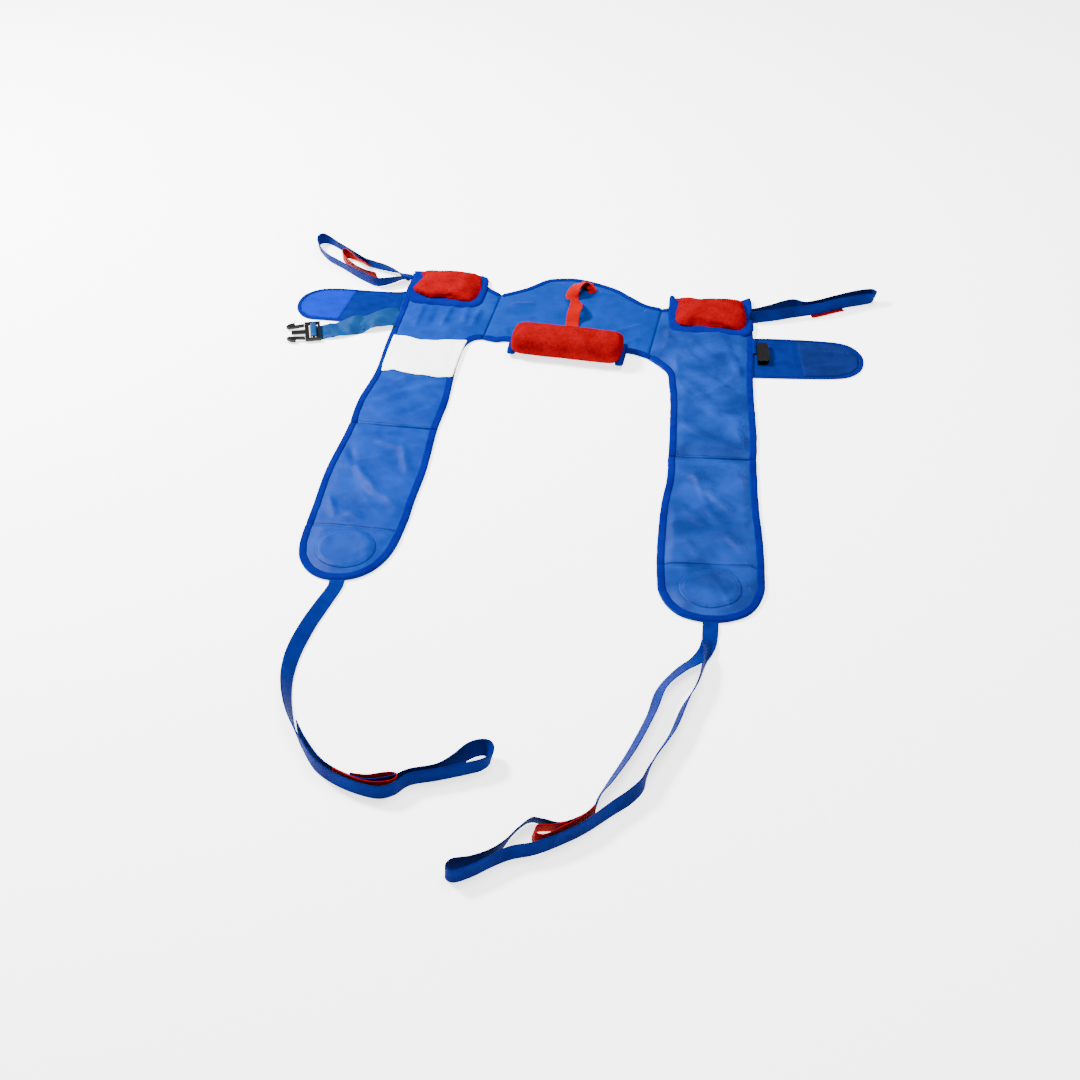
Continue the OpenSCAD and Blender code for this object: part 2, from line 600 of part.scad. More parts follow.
// ---- Left and right pieces
left_pad_turn = -5;
right_pad_turn = 1;
module left_panel_outer() color(FABRIC) panel_outer(LEFT_EDGES, LEFT_AT, -1);
module left_panel_foam() color("white") panel_foam(LEFT_EDGES, LEFT_AT, -1);
module left_panel_lining() color(FABRIC) panel_lining(LEFT_EDGES, LEFT_AT, -1);
module left_panel_binding() color(BINDING) panel_binding(LEFT_EDGES, LEFT_AT, -1);
module left_arm_pad_cover() color(RED) arm_pad_cover(LEFT_AT, left_pad_turn);
module left_arm_pad_foam() color("white") arm_pad_foam(LEFT_AT, left_pad_turn);
module left_arm_pad_binding() color(BINDING) arm_pad_binding(LEFT_AT, left_pad_turn);
module left_leg_outer() color(FABRIC) leg_outer(LEFT_AT);
module left_leg_foam() color("white") leg_foam(LEFT_AT);
module left_leg_lining() color(FABRIC) leg_lining(LEFT_AT);
module left_leg_binding() color(BINDING) leg_binding(LEFT_AT);
module left_reinforcing_disc() color(FABRIC) reinforcing_disc(LEFT_AT);
module left_strap_anchor() color(BINDING) strap_anchor(LEFT_AT);
module left_leg_strap() color(BINDING) webbing(LEFT_LEG_ROUTE, web_w, web_t);
module left_leg_red_loop() color(RED) webbing(LEFT_LEG_RED, web_w, web_t);
module left_shoulder_strap() color(BINDING) past_panel(LEFT_AT, -1)
    webbing(LEFT_SHOULDER_ROUTE, web_w, web_t);
module left_shoulder_red_loop() color(RED) webbing(LEFT_SHOULDER_RED, web_w, web_t);
module left_belt_wing() color(FABRIC) past_panel(LEFT_AT, -1) on_left_wing() belt_wing(left_wing_len);
module left_wing_binding() color(BINDING) past_panel(LEFT_AT, -1) on_left_wing()
    wing_binding(left_wing_len);

module right_panel_outer() color(FABRIC) panel_outer(RIGHT_EDGES, RIGHT_AT, 1);
module right_panel_foam() color("white") panel_foam(RIGHT_EDGES, RIGHT_AT, 1);
module right_panel_lining() color(FABRIC) panel_lining(RIGHT_EDGES, RIGHT_AT, 1);
module right_panel_binding() color(BINDING) panel_binding(RIGHT_EDGES, RIGHT_AT, 1);
module right_arm_pad_cover() color(RED) arm_pad_cover(RIGHT_AT, right_pad_turn);
module right_arm_pad_foam() color("white") arm_pad_foam(RIGHT_AT, right_pad_turn);
module right_arm_pad_binding() color(BINDING) arm_pad_binding(RIGHT_AT, right_pad_turn);
module right_leg_outer() color(FABRIC) leg_outer(RIGHT_AT);
module right_leg_foam() color("white") leg_foam(RIGHT_AT);
module right_leg_lining() color(FABRIC) leg_lining(RIGHT_AT);
module right_leg_binding() color(BINDING) leg_binding(RIGHT_AT);
module right_reinforcing_disc() color(FABRIC) reinforcing_disc(RIGHT_AT);
module right_strap_anchor() color(BINDING) strap_anchor(RIGHT_AT);
module right_leg_strap() color(BINDING) webbing(RIGHT_LEG_ROUTE, web_w, web_t);
module right_leg_red_loop() color(RED) webbing(RIGHT_LEG_RED, web_w, web_t);
module right_shoulder_strap() color(BINDING) past_panel(RIGHT_AT, 1)
    webbing(RIGHT_SHOULDER_ROUTE, web_w, web_t);
module right_shoulder_red_loop() color(RED) webbing(RIGHT_SHOULDER_RED, web_w, web_t);
module right_belt_wing() color(FABRIC) past_panel(RIGHT_AT, 1) on_right_wing() belt_wing(right_wing_len);
module right_wing_binding() color(BINDING) past_panel(RIGHT_AT, 1) on_right_wing()
    wing_binding(right_wing_len);

module left_hook_patch() color("dodgerblue") on_left_wing() wing_patch(left_wing_len, patch_len);
module right_loop_patch() color("navy") on_right_wing() wing_patch(right_wing_len, patch_len);

back_outer_fabric();
back_foam();
back_lining();
back_top_binding();
back_lower_binding();
back_roll_cover();
back_roll_foam();
back_roll_end_binding();
grab_handle();
left_panel_outer();
left_panel_foam();
left_panel_lining();
left_panel_binding();
left_arm_pad_cover();
left_arm_pad_foam();
left_arm_pad_binding();
care_label();
left_leg_outer();
left_leg_foam();
left_leg_lining();
left_leg_binding();
left_reinforcing_disc();
left_strap_anchor();
left_leg_strap();
left_leg_red_loop();
left_shoulder_strap();
left_shoulder_red_loop();
left_belt_wing();
left_wing_binding();
left_hook_patch();
belt_strap();
male_buckle_frame();
buckle_webbing();
buckle_prong_upper();
buckle_prong_lower();
right_panel_outer();
right_panel_foam();
right_panel_lining();
right_panel_binding();
right_arm_pad_cover();
right_arm_pad_foam();
right_arm_pad_binding();
right_leg_outer();
right_leg_foam();
right_leg_lining();
right_leg_binding();
right_reinforcing_disc();
right_strap_anchor();
right_leg_strap();
right_leg_red_loop();
right_shoulder_strap();
right_shoulder_red_loop();
right_belt_wing();
right_wing_binding();
right_loop_patch();
female_buckle();
female_buckle_tab();
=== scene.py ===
# %% [markdown]
# # A patient lifting belt and sling, laid flat
# A back section, two long padded leg pieces, two belt wings with a buckle, and loops of webbing.
# Every piece is built in the same frame as the CAD: metres, +Z up, the table at z = 0.

import math

import bmesh
import bpy
import numpy as np
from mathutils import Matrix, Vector, geometry, noise


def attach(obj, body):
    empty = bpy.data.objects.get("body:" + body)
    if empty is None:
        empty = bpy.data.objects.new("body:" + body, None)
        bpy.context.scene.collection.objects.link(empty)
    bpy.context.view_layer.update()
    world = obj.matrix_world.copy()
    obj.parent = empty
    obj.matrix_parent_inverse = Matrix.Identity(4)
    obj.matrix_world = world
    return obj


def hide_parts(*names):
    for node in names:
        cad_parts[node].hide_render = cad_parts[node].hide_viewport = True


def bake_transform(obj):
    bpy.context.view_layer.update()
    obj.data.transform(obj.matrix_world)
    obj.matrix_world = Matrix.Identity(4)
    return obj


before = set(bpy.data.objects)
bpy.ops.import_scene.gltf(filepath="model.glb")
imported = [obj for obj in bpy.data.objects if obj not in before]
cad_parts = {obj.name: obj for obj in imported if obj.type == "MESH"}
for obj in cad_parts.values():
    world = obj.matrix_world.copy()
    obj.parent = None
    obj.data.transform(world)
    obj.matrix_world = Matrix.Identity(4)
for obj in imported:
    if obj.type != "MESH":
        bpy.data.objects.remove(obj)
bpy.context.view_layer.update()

# %% [markdown]
# The camera comes first. It looks down at 39 degrees from well back, with a fairly long lens, so the
# far loops look only a little smaller than the near ones.

# %% Camera
camera = bpy.data.objects.new("camera", bpy.data.cameras.new("camera"))
camera.data.sensor_width = 36
camera.data.lens = 18/math.tan(math.radians(17.5))
camera.location = (-0.0609, -2.7665, 1.7627)
camera.rotation_euler = (math.radians(51), 0, 0)
bpy.context.scene.collection.objects.link(camera)
bpy.context.scene.camera = camera
print("lens", round(camera.data.lens, 2))

# %% [markdown]
# Each flat piece lies on the table in its own turned frame, as it does in the CAD: the back section,
# and the left and right leg pieces, whose frames start at the middle of their top edge and run down
# the leg along -Y. Points are written in millimetres in those frames and placed here.

# %% Frames and paths
MM = 0.001
BACK_AT = (-10, 2, -11.4)
LEFT_AT = (-239, 253, -8.6)
RIGHT_AT = (275, 161, -4.4)
WORLD_AT = (0, 0, 0)
BUCKLE_AT = (-482, 42, 188)


def place(at, points):
    a = math.radians(at[2])
    turn = np.array([[math.cos(a), math.sin(a)], [-math.sin(a), math.cos(a)]])
    return (np.array(points, float) @ turn + np.array(at[:2]))*MM


def spot(at, x, y, z=6.0):
    p = place(at, [(x, y)])[0]
    return (p[0], p[1], z*MM)


def smooth(points, steps=6):
    p = np.array(points, float)
    out = []
    for i in range(len(p) - 1):
        a, b, c, d = p[max(i - 1, 0)], p[i], p[i + 1], p[min(i + 2, len(p) - 1)]
        for k in range(steps):
            t = k/steps
            out.append(0.5*(2*b + (c - a)*t + (2*a - 5*b + 4*c - d)*t*t + (3*b - a - 3*c + d)*t**3))
    out.append(p[-1])
    return np.array(out)


def evenly(path, pitch):
    lengths = np.linalg.norm(np.diff(path[:, :3], axis=0), axis=1)
    along = np.concatenate([[0], np.cumsum(lengths)])
    count = max(2, int(round(along[-1]/pitch)) + 1)
    at = np.linspace(0, along[-1], count)
    return np.stack([np.interp(at, along, path[:, k]) for k in range(path.shape[1])], axis=1)


def inward(path):
    """The unit normals to the right of a path, where its piece lies."""
    ahead = np.gradient(path, axis=0)
    ahead /= np.linalg.norm(ahead, axis=1)[:, None]
    return np.stack([ahead[:, 1], -ahead[:, 0]], axis=1)


# %% [markdown]
# The piece edges. The real cloth has been pulled about, so each edge waves gently instead of running
# straight, and each path is given point by point. A piece lies on the right-hand side of its path.

# %% Edges of the fabric pieces
def edge(at, points, pitch=4):
    return evenly(smooth(place(at, points)), pitch*MM)


back_top = edge(BACK_AT, [(-160, 150), (-142, 162), (-112, 187), (-84, 220), (-62, 231), (-24, 238),
                          (18, 230), (62, 213), (94, 190), (128, 167), (160, 160.5)])
back_low = edge(BACK_AT, [(160, -22), (145, -16), (119, -10), (60, -15), (0, -17), (-60, -17),
                          (-114, -15), (-135, -21), (-160, -17)])
left_top = edge(LEFT_AT, [(-82.5, -530), (-84, -459), (-74, -365), (-76, -264), (-75, -163), (-77, -71),
                          (-76, -12), (-66, -1), (60, -1), (74, -8), (79, -30), (94, -44), (111.5, -56.3)])
left_inner = edge(LEFT_AT, [(103.3, -223), (90, -227), (79, -241), (73, -264), (71.5, -326),
                            (76, -400), (78, -451), (76, -507), (76, -530)])
left_end = edge(LEFT_AT, [(76, -530), (77, -560), (81, -649), (79, -730), (78, -811), (71, -878),
                          (50, -926), (16, -953), (-28, -956), (-64, -930), (-83, -880), (-87, -775),
                          (-90, -674), (-84, -575), (-82.5, -530)])
right_inner = edge(RIGHT_AT, [(-73, -530), (-72, -498), (-72, -368), (-76, -300), (-80, -268),
                              (-97, -243), (-115.8, -223)])
right_top = edge(RIGHT_AT, [(-93.6, -40.6), (-85, -42), (-78, -32), (-76, -12), (-66, -1), (62, -1),
                            (75, -10), (79, -70), (82, -155), (79, -306), (82, -456), (80, -530)])
right_end = edge(RIGHT_AT, [(80, -530), (80, -556), (81, -657), (86, -757), (87, -837), (84, -888),
                            (64, -932), (28, -954), (-12, -957), (-52, -942), (-78, -903), (-85, -850),
                            (-86, -770), (-82, -669), (-74, -598), (-73, -530)])
print("leg end edge is", round(float(np.linalg.norm(np.diff(left_end, axis=0), axis=1).sum()), 3), "m long")

# %% [markdown]
# A quilted piece is two layers of cloth over thin foam. Its outline is filled with a triangulated
# net of points, and every point gets a height: thin under the edge tape and at the seams, full
# between them, with soft creases where the cloth has been pulled. Heights are a plain function, so
# that tape, stitches, discs and labels can lie on the same surface.


# %% Heights of a quilted piece
def distance(points, path, closed=False):
    a = path
    b = np.roll(path, -1, axis=0) if closed else path[1:]
    a = a if closed else a[:-1]
    ab = b - a
    best = np.full(len(points), 1e9)
    for start in range(0, len(points), 2000):
        p = points[start:start + 2000, None, :]
        t = np.clip(((p - a)*ab).sum(2)/np.maximum((ab*ab).sum(1), 1e-12), 0, 1)
        best[start:start + 2000] = np.linalg.norm(p - (a + t[..., None]*ab), axis=2).min(1)
    return best


def inside(points, loop):
    x, y = points[:, 0], points[:, 1]
    odd = np.zeros(len(points), bool)
    for (x1, y1), (x2, y2) in zip(loop, np.roll(loop, -1, axis=0)):
        if y1 != y2:
            odd ^= ((y1 > y) != (y2 > y)) & (x < (x2 - x1)*(y - y1)/(y2 - y1) + x1)
    return odd


def eased(t):
    t = np.clip(t, 0, 1)
    return t*t*(3 - 2*t)


def ridge(points, a, b, width):
    """1 along the line from a to b, falling to 0 at width to its sides and towards its ends."""
    ab = b - a
    t = ((points - a) @ ab)/(ab @ ab)
    off = np.linalg.norm(points - (a + np.clip(t, 0, 1)[:, None]*ab), axis=1)
    taper = eased(1.6 - np.abs(2*t - 1)*1.6)
    return np.exp(-(off/width)**2)*taper


def ripple(points, size, seed):
    return np.array([noise.noise(Vector((x/size, y/size, seed))) for x, y in points])


PAD_DEPTH = 112


class Quilt:
    """A piece's outline and its height above the table anywhere on it."""

    def __init__(self, loop, at, edge_t=4.0, puff=2.4, seams=(), creases=(), soft=0.8, crumple=0.0,
                 seed=1.0, low=0.45):
        self.loop = loop
        self.edge_t, self.puff, self.soft, self.low = edge_t*MM, puff*MM, soft*MM, low*MM
        self.seed = seed
        self.seams = [place(at, s) for s in seams]
        self.crumple, self.at, self.turn = crumple*MM, at, math.radians(at[2])
        self.creases = [(*place(at, [a, b]), w*MM, h*MM) for a, b, w, h in creases]

    def height(self, points):
        points = np.array(points, float).reshape(-1, 2)
        d = distance(points, self.loop, True)
        z = self.edge_t + self.puff*(1 - np.exp(-np.maximum(d - 0.008, 0)/0.014))
        free = eased((d - 0.009)/0.02)
        if self.at in (LEFT_AT, RIGHT_AT):
            x, y = points[:, 0]/MM - self.at[0], points[:, 1]/MM - self.at[1]
            down = x*math.sin(self.turn) - y*math.cos(self.turn)
            free = free*eased((down - PAD_DEPTH)/24)
        for a, b, w, h in self.creases:
            z += 2.7*h*ridge(points, a, b, w*0.8)*free
        z += self.soft*free*(ripple(points, 0.055, self.seed) + 0.5*ripple(points, 0.021, self.seed + 7))
        if self.crumple:
            for number, (lean, size) in enumerate(((0.65, 0.075), (-0.55, 0.085), (1.2, 0.06))):
                c, q = math.cos(self.turn + lean), math.sin(self.turn + lean)
                run = np.stack([(points[:, 0]*c - points[:, 1]*q)*0.38, points[:, 0]*q + points[:, 1]*c],
                               axis=1)
                wave = ripple(run, size, self.seed + 11*(number + 1))
                z += self.crumple*(np.maximum(0, 1 - 4.0*np.abs(wave))**1.5 + 0.9*wave)*free
        for s in self.seams:
            z -= 2.6*MM*np.exp(-(distance(points, s)/0.003)**2)
        return np.maximum(z, self.low + 0.8*MM)


# %% [markdown]
# The net itself comes from Blender's own constrained triangulation, which keeps the outline exactly.
# Extra rows of points go beside each seam, because a groove 3 mm wide needs points closer than that.


# %% Filling an outline
def triangles_in(loop, pitch, extra=None):
    low, high = loop.min(0), loop.max(0)
    gx, gy = np.meshgrid(np.arange(low[0], high[0], pitch), np.arange(low[1], high[1], pitch*0.9))
    gx[1::2] += pitch/2
    grid = np.stack([gx.ravel(), gy.ravel()], axis=1)
    grid = grid[inside(grid, loop)]
    grid = grid[distance(grid, loop, True) > pitch*0.6]
    if extra is not None and len(extra):
        extra = extra[inside(extra, loop)]
        extra = extra[distance(extra, loop, True) > pitch*0.4]
        keep = np.ones(len(grid), bool)
        for start in range(0, len(grid), 1000):
            gap = np.linalg.norm(grid[start:start + 1000, None] - extra[None], axis=2).min(1)
            keep[start:start + 1000] = gap > pitch*0.6
        grid = np.concatenate([grid[keep], extra])
    every = [Vector(p) for p in np.concatenate([loop, grid])]
    found = geometry.delaunay_2d_cdt(every, [], [list(range(len(loop)))], 1, 1e-7)
    return np.array([v[:] for v in found[0]]), [list(f) for f in found[2]]


def shell(name, loop, top, bottom, pitch=5*MM, extra=None):
    """A closed piece between two height functions over an outline."""
    flat, faces = triangles_in(loop, pitch, extra)
    n = len(flat)
    points = np.concatenate([np.c_[flat, top(flat)], np.c_[flat, bottom(flat)]])
    mesh = bpy.data.meshes.new(name)
    edges = {}
    for f in faces:
        for i in range(len(f)):
            edges.setdefault(frozenset((f[i], f[i - 1])), []).append((f[i - 1], f[i]))
    walls = [(b, a, a + n, b + n) for pairs in edges.values() if len(pairs) == 1 for a, b in pairs]
    mesh.from_pydata(points.tolist(), [], faces + [[i + n for i in reversed(f)] for f in faces] + walls)
    return finished(name, mesh, under=len(faces))


def finished(name, mesh, under=None):
    """Points the faces outwards, smooths them, and links the piece.

    Faces from number under on are its underside."""
    work = bmesh.new()
    work.from_mesh(mesh)
    bmesh.ops.recalc_face_normals(work, faces=work.faces)
    work.to_mesh(mesh)
    work.free()
    mesh.polygons.foreach_set("use_smooth", [True]*len(mesh.polygons))
    if under is not None:
        mesh.polygons.foreach_set("material_index", [int(i >= under) for i in range(len(mesh.polygons))])
    piece = bpy.data.objects.new(name, mesh)
    bpy.context.scene.collection.objects.link(piece)
    return piece


# %% [markdown]
# A piece can ride on one body. A zone across a seam names two bodies and a point on either side of
# the seam, but a piece in such a zone is only baked into place and follows neither body. Each sewn
# zone of the sling says which, once.

# %% Which bodies each zone follows
ZONES = {
    "back": ("back_section",),
    "left_panel": ("back_section", "left_side_panel", spot(BACK_AT, -160, 60), spot(BACK_AT, -194, 60)),
    "right_panel": ("back_section", "right_side_panel", spot(BACK_AT, 160, 60), spot(BACK_AT, 194, 60)),
    "left_leg": ("left_side_panel", "left_lower_leg", spot(LEFT_AT, 0, -530), spot(LEFT_AT, 0, -580)),
    "right_leg": ("right_side_panel", "right_lower_leg", spot(RIGHT_AT, 0, -530), spot(RIGHT_AT, 0, -580)),
    "left_loop": ("left_lower_leg", "left_leg_loop", spot(LEFT_AT, 0, -956), spot(LEFT_AT, 0, -985)),
    "right_loop": ("right_lower_leg", "right_leg_loop", spot(RIGHT_AT, 0, -956), spot(RIGHT_AT, 0, -985)),
    "left_shoulder": ("left_side_panel", "left_shoulder_loop", spot(LEFT_AT, -76, -20),
                      spot(LEFT_AT, -100, -20)),
    "right_shoulder": ("right_side_panel", "right_shoulder_loop", spot(RIGHT_AT, 76, -60),
                       spot(RIGHT_AT, 100, -60)),
    "left_wing": ("left_side_panel", "left_wing", spot(LEFT_AT, -76, -131), spot(LEFT_AT, -96, -131)),
    "right_wing": ("right_side_panel", "right_wing", spot(RIGHT_AT, 76, -206), spot(RIGHT_AT, 96, -206)),
    "belt": ("left_wing", "belt_webbing", spot(LEFT_AT, -77, -190), spot(LEFT_AT, -100, -190)),
    "left_side": ("left_side_panel",),
    "right_side": ("right_side_panel",),
    "buckle_band": ("belt_webbing", "male_buckle", spot(BUCKLE_AT, -22.75, 0), spot(BUCKLE_AT, -6, 0)),
    "male": ("male_buckle",),
    "female": ("female_half",),
}


def belongs(piece, zone, slot, *nodes):
    where = ZONES[zone]
    if len(where) == 1:
        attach(piece, where[0])
    else:
        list(where)
        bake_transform(piece)
    if nodes:
        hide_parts(*nodes)
    triangles = sum(len(p.vertices) - 2 for p in piece.data.polygons)
    print(f"{piece.name}: {triangles} triangles, follows {zone}")
    return piece


# %% [markdown]
# Woven cloth. The colour drifts a little over the piece, and two crossed wave patterns 0.9 mm apart
# give the weave its bump. On the right shell cloth the drift is strong and hard-edged: its dark and
# light patches are painted shade standing in for the shading of crumpled cloth. Nylon shell cloth
# shines softly where it turns to the light, so it has a weak blue-tinted shine and a middling
# roughness. Webbing and tape use their own UV map, which follows the band.


# %% Cloth materials
def mixed(tree, factor, a, b):
    mix = tree.nodes.new("ShaderNodeMix")
    mix.data_type = "RGBA"
    tree.links.new(factor, mix.inputs["Factor"])
    for socket, value in (("A", a), ("B", b)):
        found = [s for s in mix.inputs if s.name == socket and s.type == "RGBA"][0]
        if isinstance(value, tuple):
            found.default_value = (*value, 1)
        else:
            tree.links.new(value, found)
    return [s for s in mix.outputs if s.type == "RGBA"][0]


def maths(tree, operation, a, b=None):
    node = tree.nodes.new("ShaderNodeMath")
    node.operation = operation
    for i, value in enumerate((a, b)):
        if isinstance(value, (int, float)):
            node.inputs[i].default_value = value
        elif value is not None:
            tree.links.new(value, node.inputs[i])
    return node.outputs[0]


def bands(tree, where, axis, pitch, profile="SIN", warp=0.0):
    wave = tree.nodes.new("ShaderNodeTexWave")
    wave.bands_direction = axis
    wave.wave_profile = profile
    wave.inputs["Scale"].default_value = 0.3142/pitch
    wave.inputs["Distortion"].default_value = warp
    tree.links.new(where, wave.inputs["Vector"])
    return wave.outputs["Fac"]


def speckle(tree, where, size, detail=2.0):
    cloud = tree.nodes.new("ShaderNodeTexNoise")
    cloud.inputs["Scale"].default_value = 1/size
    cloud.inputs["Detail"].default_value = detail
    tree.links.new(where, cloud.inputs["Vector"])
    return cloud.outputs["Fac"]


def cloth(name, dark, light, rough=0.6, thread=0.0009, depth=0.35, along="Object", turn=0.0,
          rib=0.0, mottle=0.02, specular=0.1, drift=0.06, spread=0.14):
    material = bpy.data.materials.new(name)
    material.use_nodes = True
    tree = material.node_tree
    shader = tree.nodes["Principled BSDF"]
    source = tree.nodes.new("ShaderNodeTexCoord")
    mapping = tree.nodes.new("ShaderNodeMapping")
    mapping.inputs["Rotation"].default_value[2] = math.radians(turn)
    tree.links.new(source.outputs[along], mapping.inputs["Vector"])
    where = mapping.outputs["Vector"]
    solid = source.outputs["Object"]
    cloudy = speckle(tree, solid, drift)
    fine = speckle(tree, solid, mottle, 4.0)
    blend = maths(tree, "ADD", maths(tree, "MULTIPLY", cloudy, 0.55), maths(tree, "MULTIPLY", fine, 0.45))
    ramp = tree.nodes.new("ShaderNodeMapRange")
    ramp.inputs["From Min"].default_value = 0.5 - spread
    ramp.inputs["From Max"].default_value = 0.5 + spread
    tree.links.new(blend, ramp.inputs["Value"])
    tree.links.new(mixed(tree, ramp.outputs["Result"], dark, light), shader.inputs["Base Color"])
    warp = bands(tree, where, "X", thread)
    weft = bands(tree, where, "Y", thread)
    weave = maths(tree, "MULTIPLY", warp, weft)
    if rib:
        weave = maths(tree, "ADD", maths(tree, "MULTIPLY", weave, 0.5), bands(tree, where, "Y", rib))
    weave = maths(tree, "ADD", weave, maths(tree, "MULTIPLY", speckle(tree, solid, 0.004), 0.5))
    bump = tree.nodes.new("ShaderNodeBump")
    bump.inputs["Strength"].default_value = depth
    bump.inputs["Distance"].default_value = 0.0004
    tree.links.new(weave, bump.inputs["Height"])
    tree.links.new(bump.outputs["Normal"], shader.inputs["Normal"])
    worn = maths(tree, "ADD", maths(tree, "MULTIPLY", cloudy, 0.16), rough - 0.08)
    tree.links.new(worn, shader.inputs["Roughness"])
    shader.inputs["Specular IOR Level"].default_value = specular
    brightest = max(light)
    shader.inputs["Specular Tint"].default_value = (*[0.25 + 0.75*c/brightest for c in light], 1)
    return material


shell_left = cloth("shell_cloth_left", (0.0004, 0.0145, 0.1250), (0.0012, 0.0245, 0.1850), rough=0.4,
                   turn=8.6,
                   specular=0.08, drift=0.07)
# The right shell cloth's dark and light ends lie far apart and its patches have hard edges. Beyond a random
# drift in tone, these patches are painted shade for the shading of its crumpled cloth.
shell_right_painted_shade = cloth("shell_cloth_right_painted_shade", (0.0005, 0.0115, 0.0920), (0.0030, 0.0270, 0.1830), rough=0.36,
                    turn=4.4,
                    specular=0.12, mottle=0.045, drift=0.075, spread=0.115)
shell_back = cloth("shell_cloth_back", (0.0004, 0.0160, 0.1250), (0.0010, 0.0225, 0.1700), rough=0.45,
                   turn=11.4,
                   specular=0.06, drift=0.09)
lining = cloth("lining_cloth", (0.0015, 0.0110, 0.0800), (0.0025, 0.0160, 0.1100), rough=0.8, depth=0.5)
tape = cloth("binding_tape", (0.0002, 0.0028, 0.0850), (0.0004, 0.0052, 0.1200), rough=0.62, thread=0.0007,
             along="UV", rib=0.0016, specular=0.0)
strap_blue = cloth("loop_webbing_blue", (0.0003, 0.0050, 0.0720), (0.0008, 0.0095, 0.1200), rough=0.6,
                   thread=0.0012,
                   along="UV", rib=0.0021, depth=0.6, specular=0.02)
strap_red = cloth("loop_webbing_red", (0.1900, 0.0002, 0.0003), (0.2800, 0.0003, 0.0005), rough=0.6,
                  thread=0.0012,
                  along="UV", rib=0.0021, depth=0.6, specular=0.02)
belt_cloth = cloth("belt_webbing_teal", (0.0006, 0.0160, 0.0720), (0.0030, 0.0300, 0.1080), rough=0.38,
                   thread=0.0010,
                   along="UV", rib=0.0015, depth=0.4, specular=0.08)
red_cover = cloth("red_pad_cover", (0.1150, 0.0005, 0.0018), (0.1800, 0.0009, 0.0030), rough=0.8,
                  thread=0.0013,
                  depth=0.7, mottle=0.006, drift=0.03, specular=0.0)
wing_cloth = cloth("wing_cloth", (0.0009, 0.0055, 0.0680), (0.0014, 0.0100, 0.1000), rough=0.6,
                   specular=0.03)
hook_tape = cloth("hook_tape", (0.0001, 0.0090, 0.2100), (0.0002, 0.0125, 0.2700), rough=0.5, thread=0.0016,
                  depth=0.8,
                  specular=0.0)
loop_tape = cloth("loop_tape", (0.0014, 0.0065, 0.0520), (0.0028, 0.0105, 0.0780), rough=0.85,
                  thread=0.0016, depth=0.9,
                  specular=0.08)
label_cloth = cloth("label_cloth", (0.93, 0.95, 0.95), (0.97, 0.98, 0.98), rough=0.55, thread=0.0005,
                    depth=0.15)
thread_blue = cloth("blue_thread", (0.0003, 0.0045, 0.0650), (0.0008, 0.0085, 0.1000), rough=0.5,
                    thread=0.0004)
thread_red = cloth("red_thread", (0.0800, 0.0004, 0.0004), (0.1200, 0.0008, 0.0008), rough=0.5,
                   thread=0.0004)
print("cloth materials ready")

# %% [markdown]
# The buckles are moulded acetal: black, satin, with a fine spark-eroded grain and slightly polished
# patches where hands rub them.

# %% Moulded plastic
plastic = bpy.data.materials.new("moulded_black_plastic")
plastic.use_nodes = True
shader = plastic.node_tree.nodes["Principled BSDF"]
shader.inputs["Base Color"].default_value = (0.0016, 0.0015, 0.0014, 1)
shader.inputs["Specular IOR Level"].default_value = 0.14
source = plastic.node_tree.nodes.new("ShaderNodeTexCoord")
grain = speckle(plastic.node_tree, source.outputs["Object"], 0.0006, 3.0)
rub = speckle(plastic.node_tree, source.outputs["Object"], 0.012)
bump = plastic.node_tree.nodes.new("ShaderNodeBump")
bump.inputs["Strength"].default_value = 0.25
bump.inputs["Distance"].default_value = 0.0001
plastic.node_tree.links.new(grain, bump.inputs["Height"])
plastic.node_tree.links.new(bump.outputs["Normal"], shader.inputs["Normal"])
plastic.node_tree.links.new(
    maths(plastic.node_tree, "ADD", maths(plastic.node_tree, "MULTIPLY", rub, 0.3), 0.2),
    shader.inputs["Roughness"])
print("plastic ready")

# %% [markdown]
# Now the quilted pieces. The creases are short ridges and hollows, each given by its two ends, its
# width and its height in millimetres.

# %% Quilted pieces
left_panel = Quilt(
    np.concatenate([left_top, left_inner]), LEFT_AT, seed=2.0, crumple=0.6,
    seams=[[(111.5, -56.3), (103.3, -223)], [(-82.5, -530), (76, -530)]],
    creases=[((-30, -100), (-34, -215), 7, 1.6), ((2, -110), (-4, -200), 8, -1.3),
             ((26, -110), (16, -205), 7, 1.9),
             ((52, -100), (60, -190), 8, 1.5), ((88, -60), (74, -200), 7, 2.0),
             ((-60, -120), (-64, -230), 6, 1.2),
             ((-60, -470), (60, -380), 14, 1.2), ((-40, -390), (40, -372), 9, 1.1),
             ((0, -505), (60, -440), 12, -1.0)])
right_panel = Quilt(
    np.concatenate([right_inner, right_top]), RIGHT_AT, seed=3.0, crumple=2.3,
    seams=[[(-93.6, -40.6), (-115.8, -221.8)], [(-73, -530), (80, -530)]],
    creases=[((-105, -60), (-70, -190), 9, 1.6), ((-60, -140), (30, -260), 12, 1.3),
             ((20, -130), (60, -300), 10, 1.2),
             ((-50, -300), (30, -420), 13, 1.5), ((-20, -250), (56, -330), 9, -1.1),
             ((-58, -420), (10, -500), 11, 1.3),
             ((40, -400), (64, -520), 9, 1.2), ((-66, -200), (-60, -330), 7, 1.3)])
left_leg = Quilt(
    left_end, LEFT_AT, seed=4.0, crumple=0.8, seams=[[(-82.5, -530), (76, -530)],
                                                     [(-95, -826), (95, -826)]],
    creases=[((-60, -640), (20, -745), 10, 2.2), ((-66, -600), (-30, -700), 7, -1.2),
             ((-30, -700), (60, -760), 12, 1.4),
             ((20, -570), (56, -680), 9, 1.5), ((-50, -780), (10, -805), 9, 1.0),
             ((-70, -740), (-40, -810), 8, 1.2),
             ((-30, -580), (30, -600), 10, 1.0)])
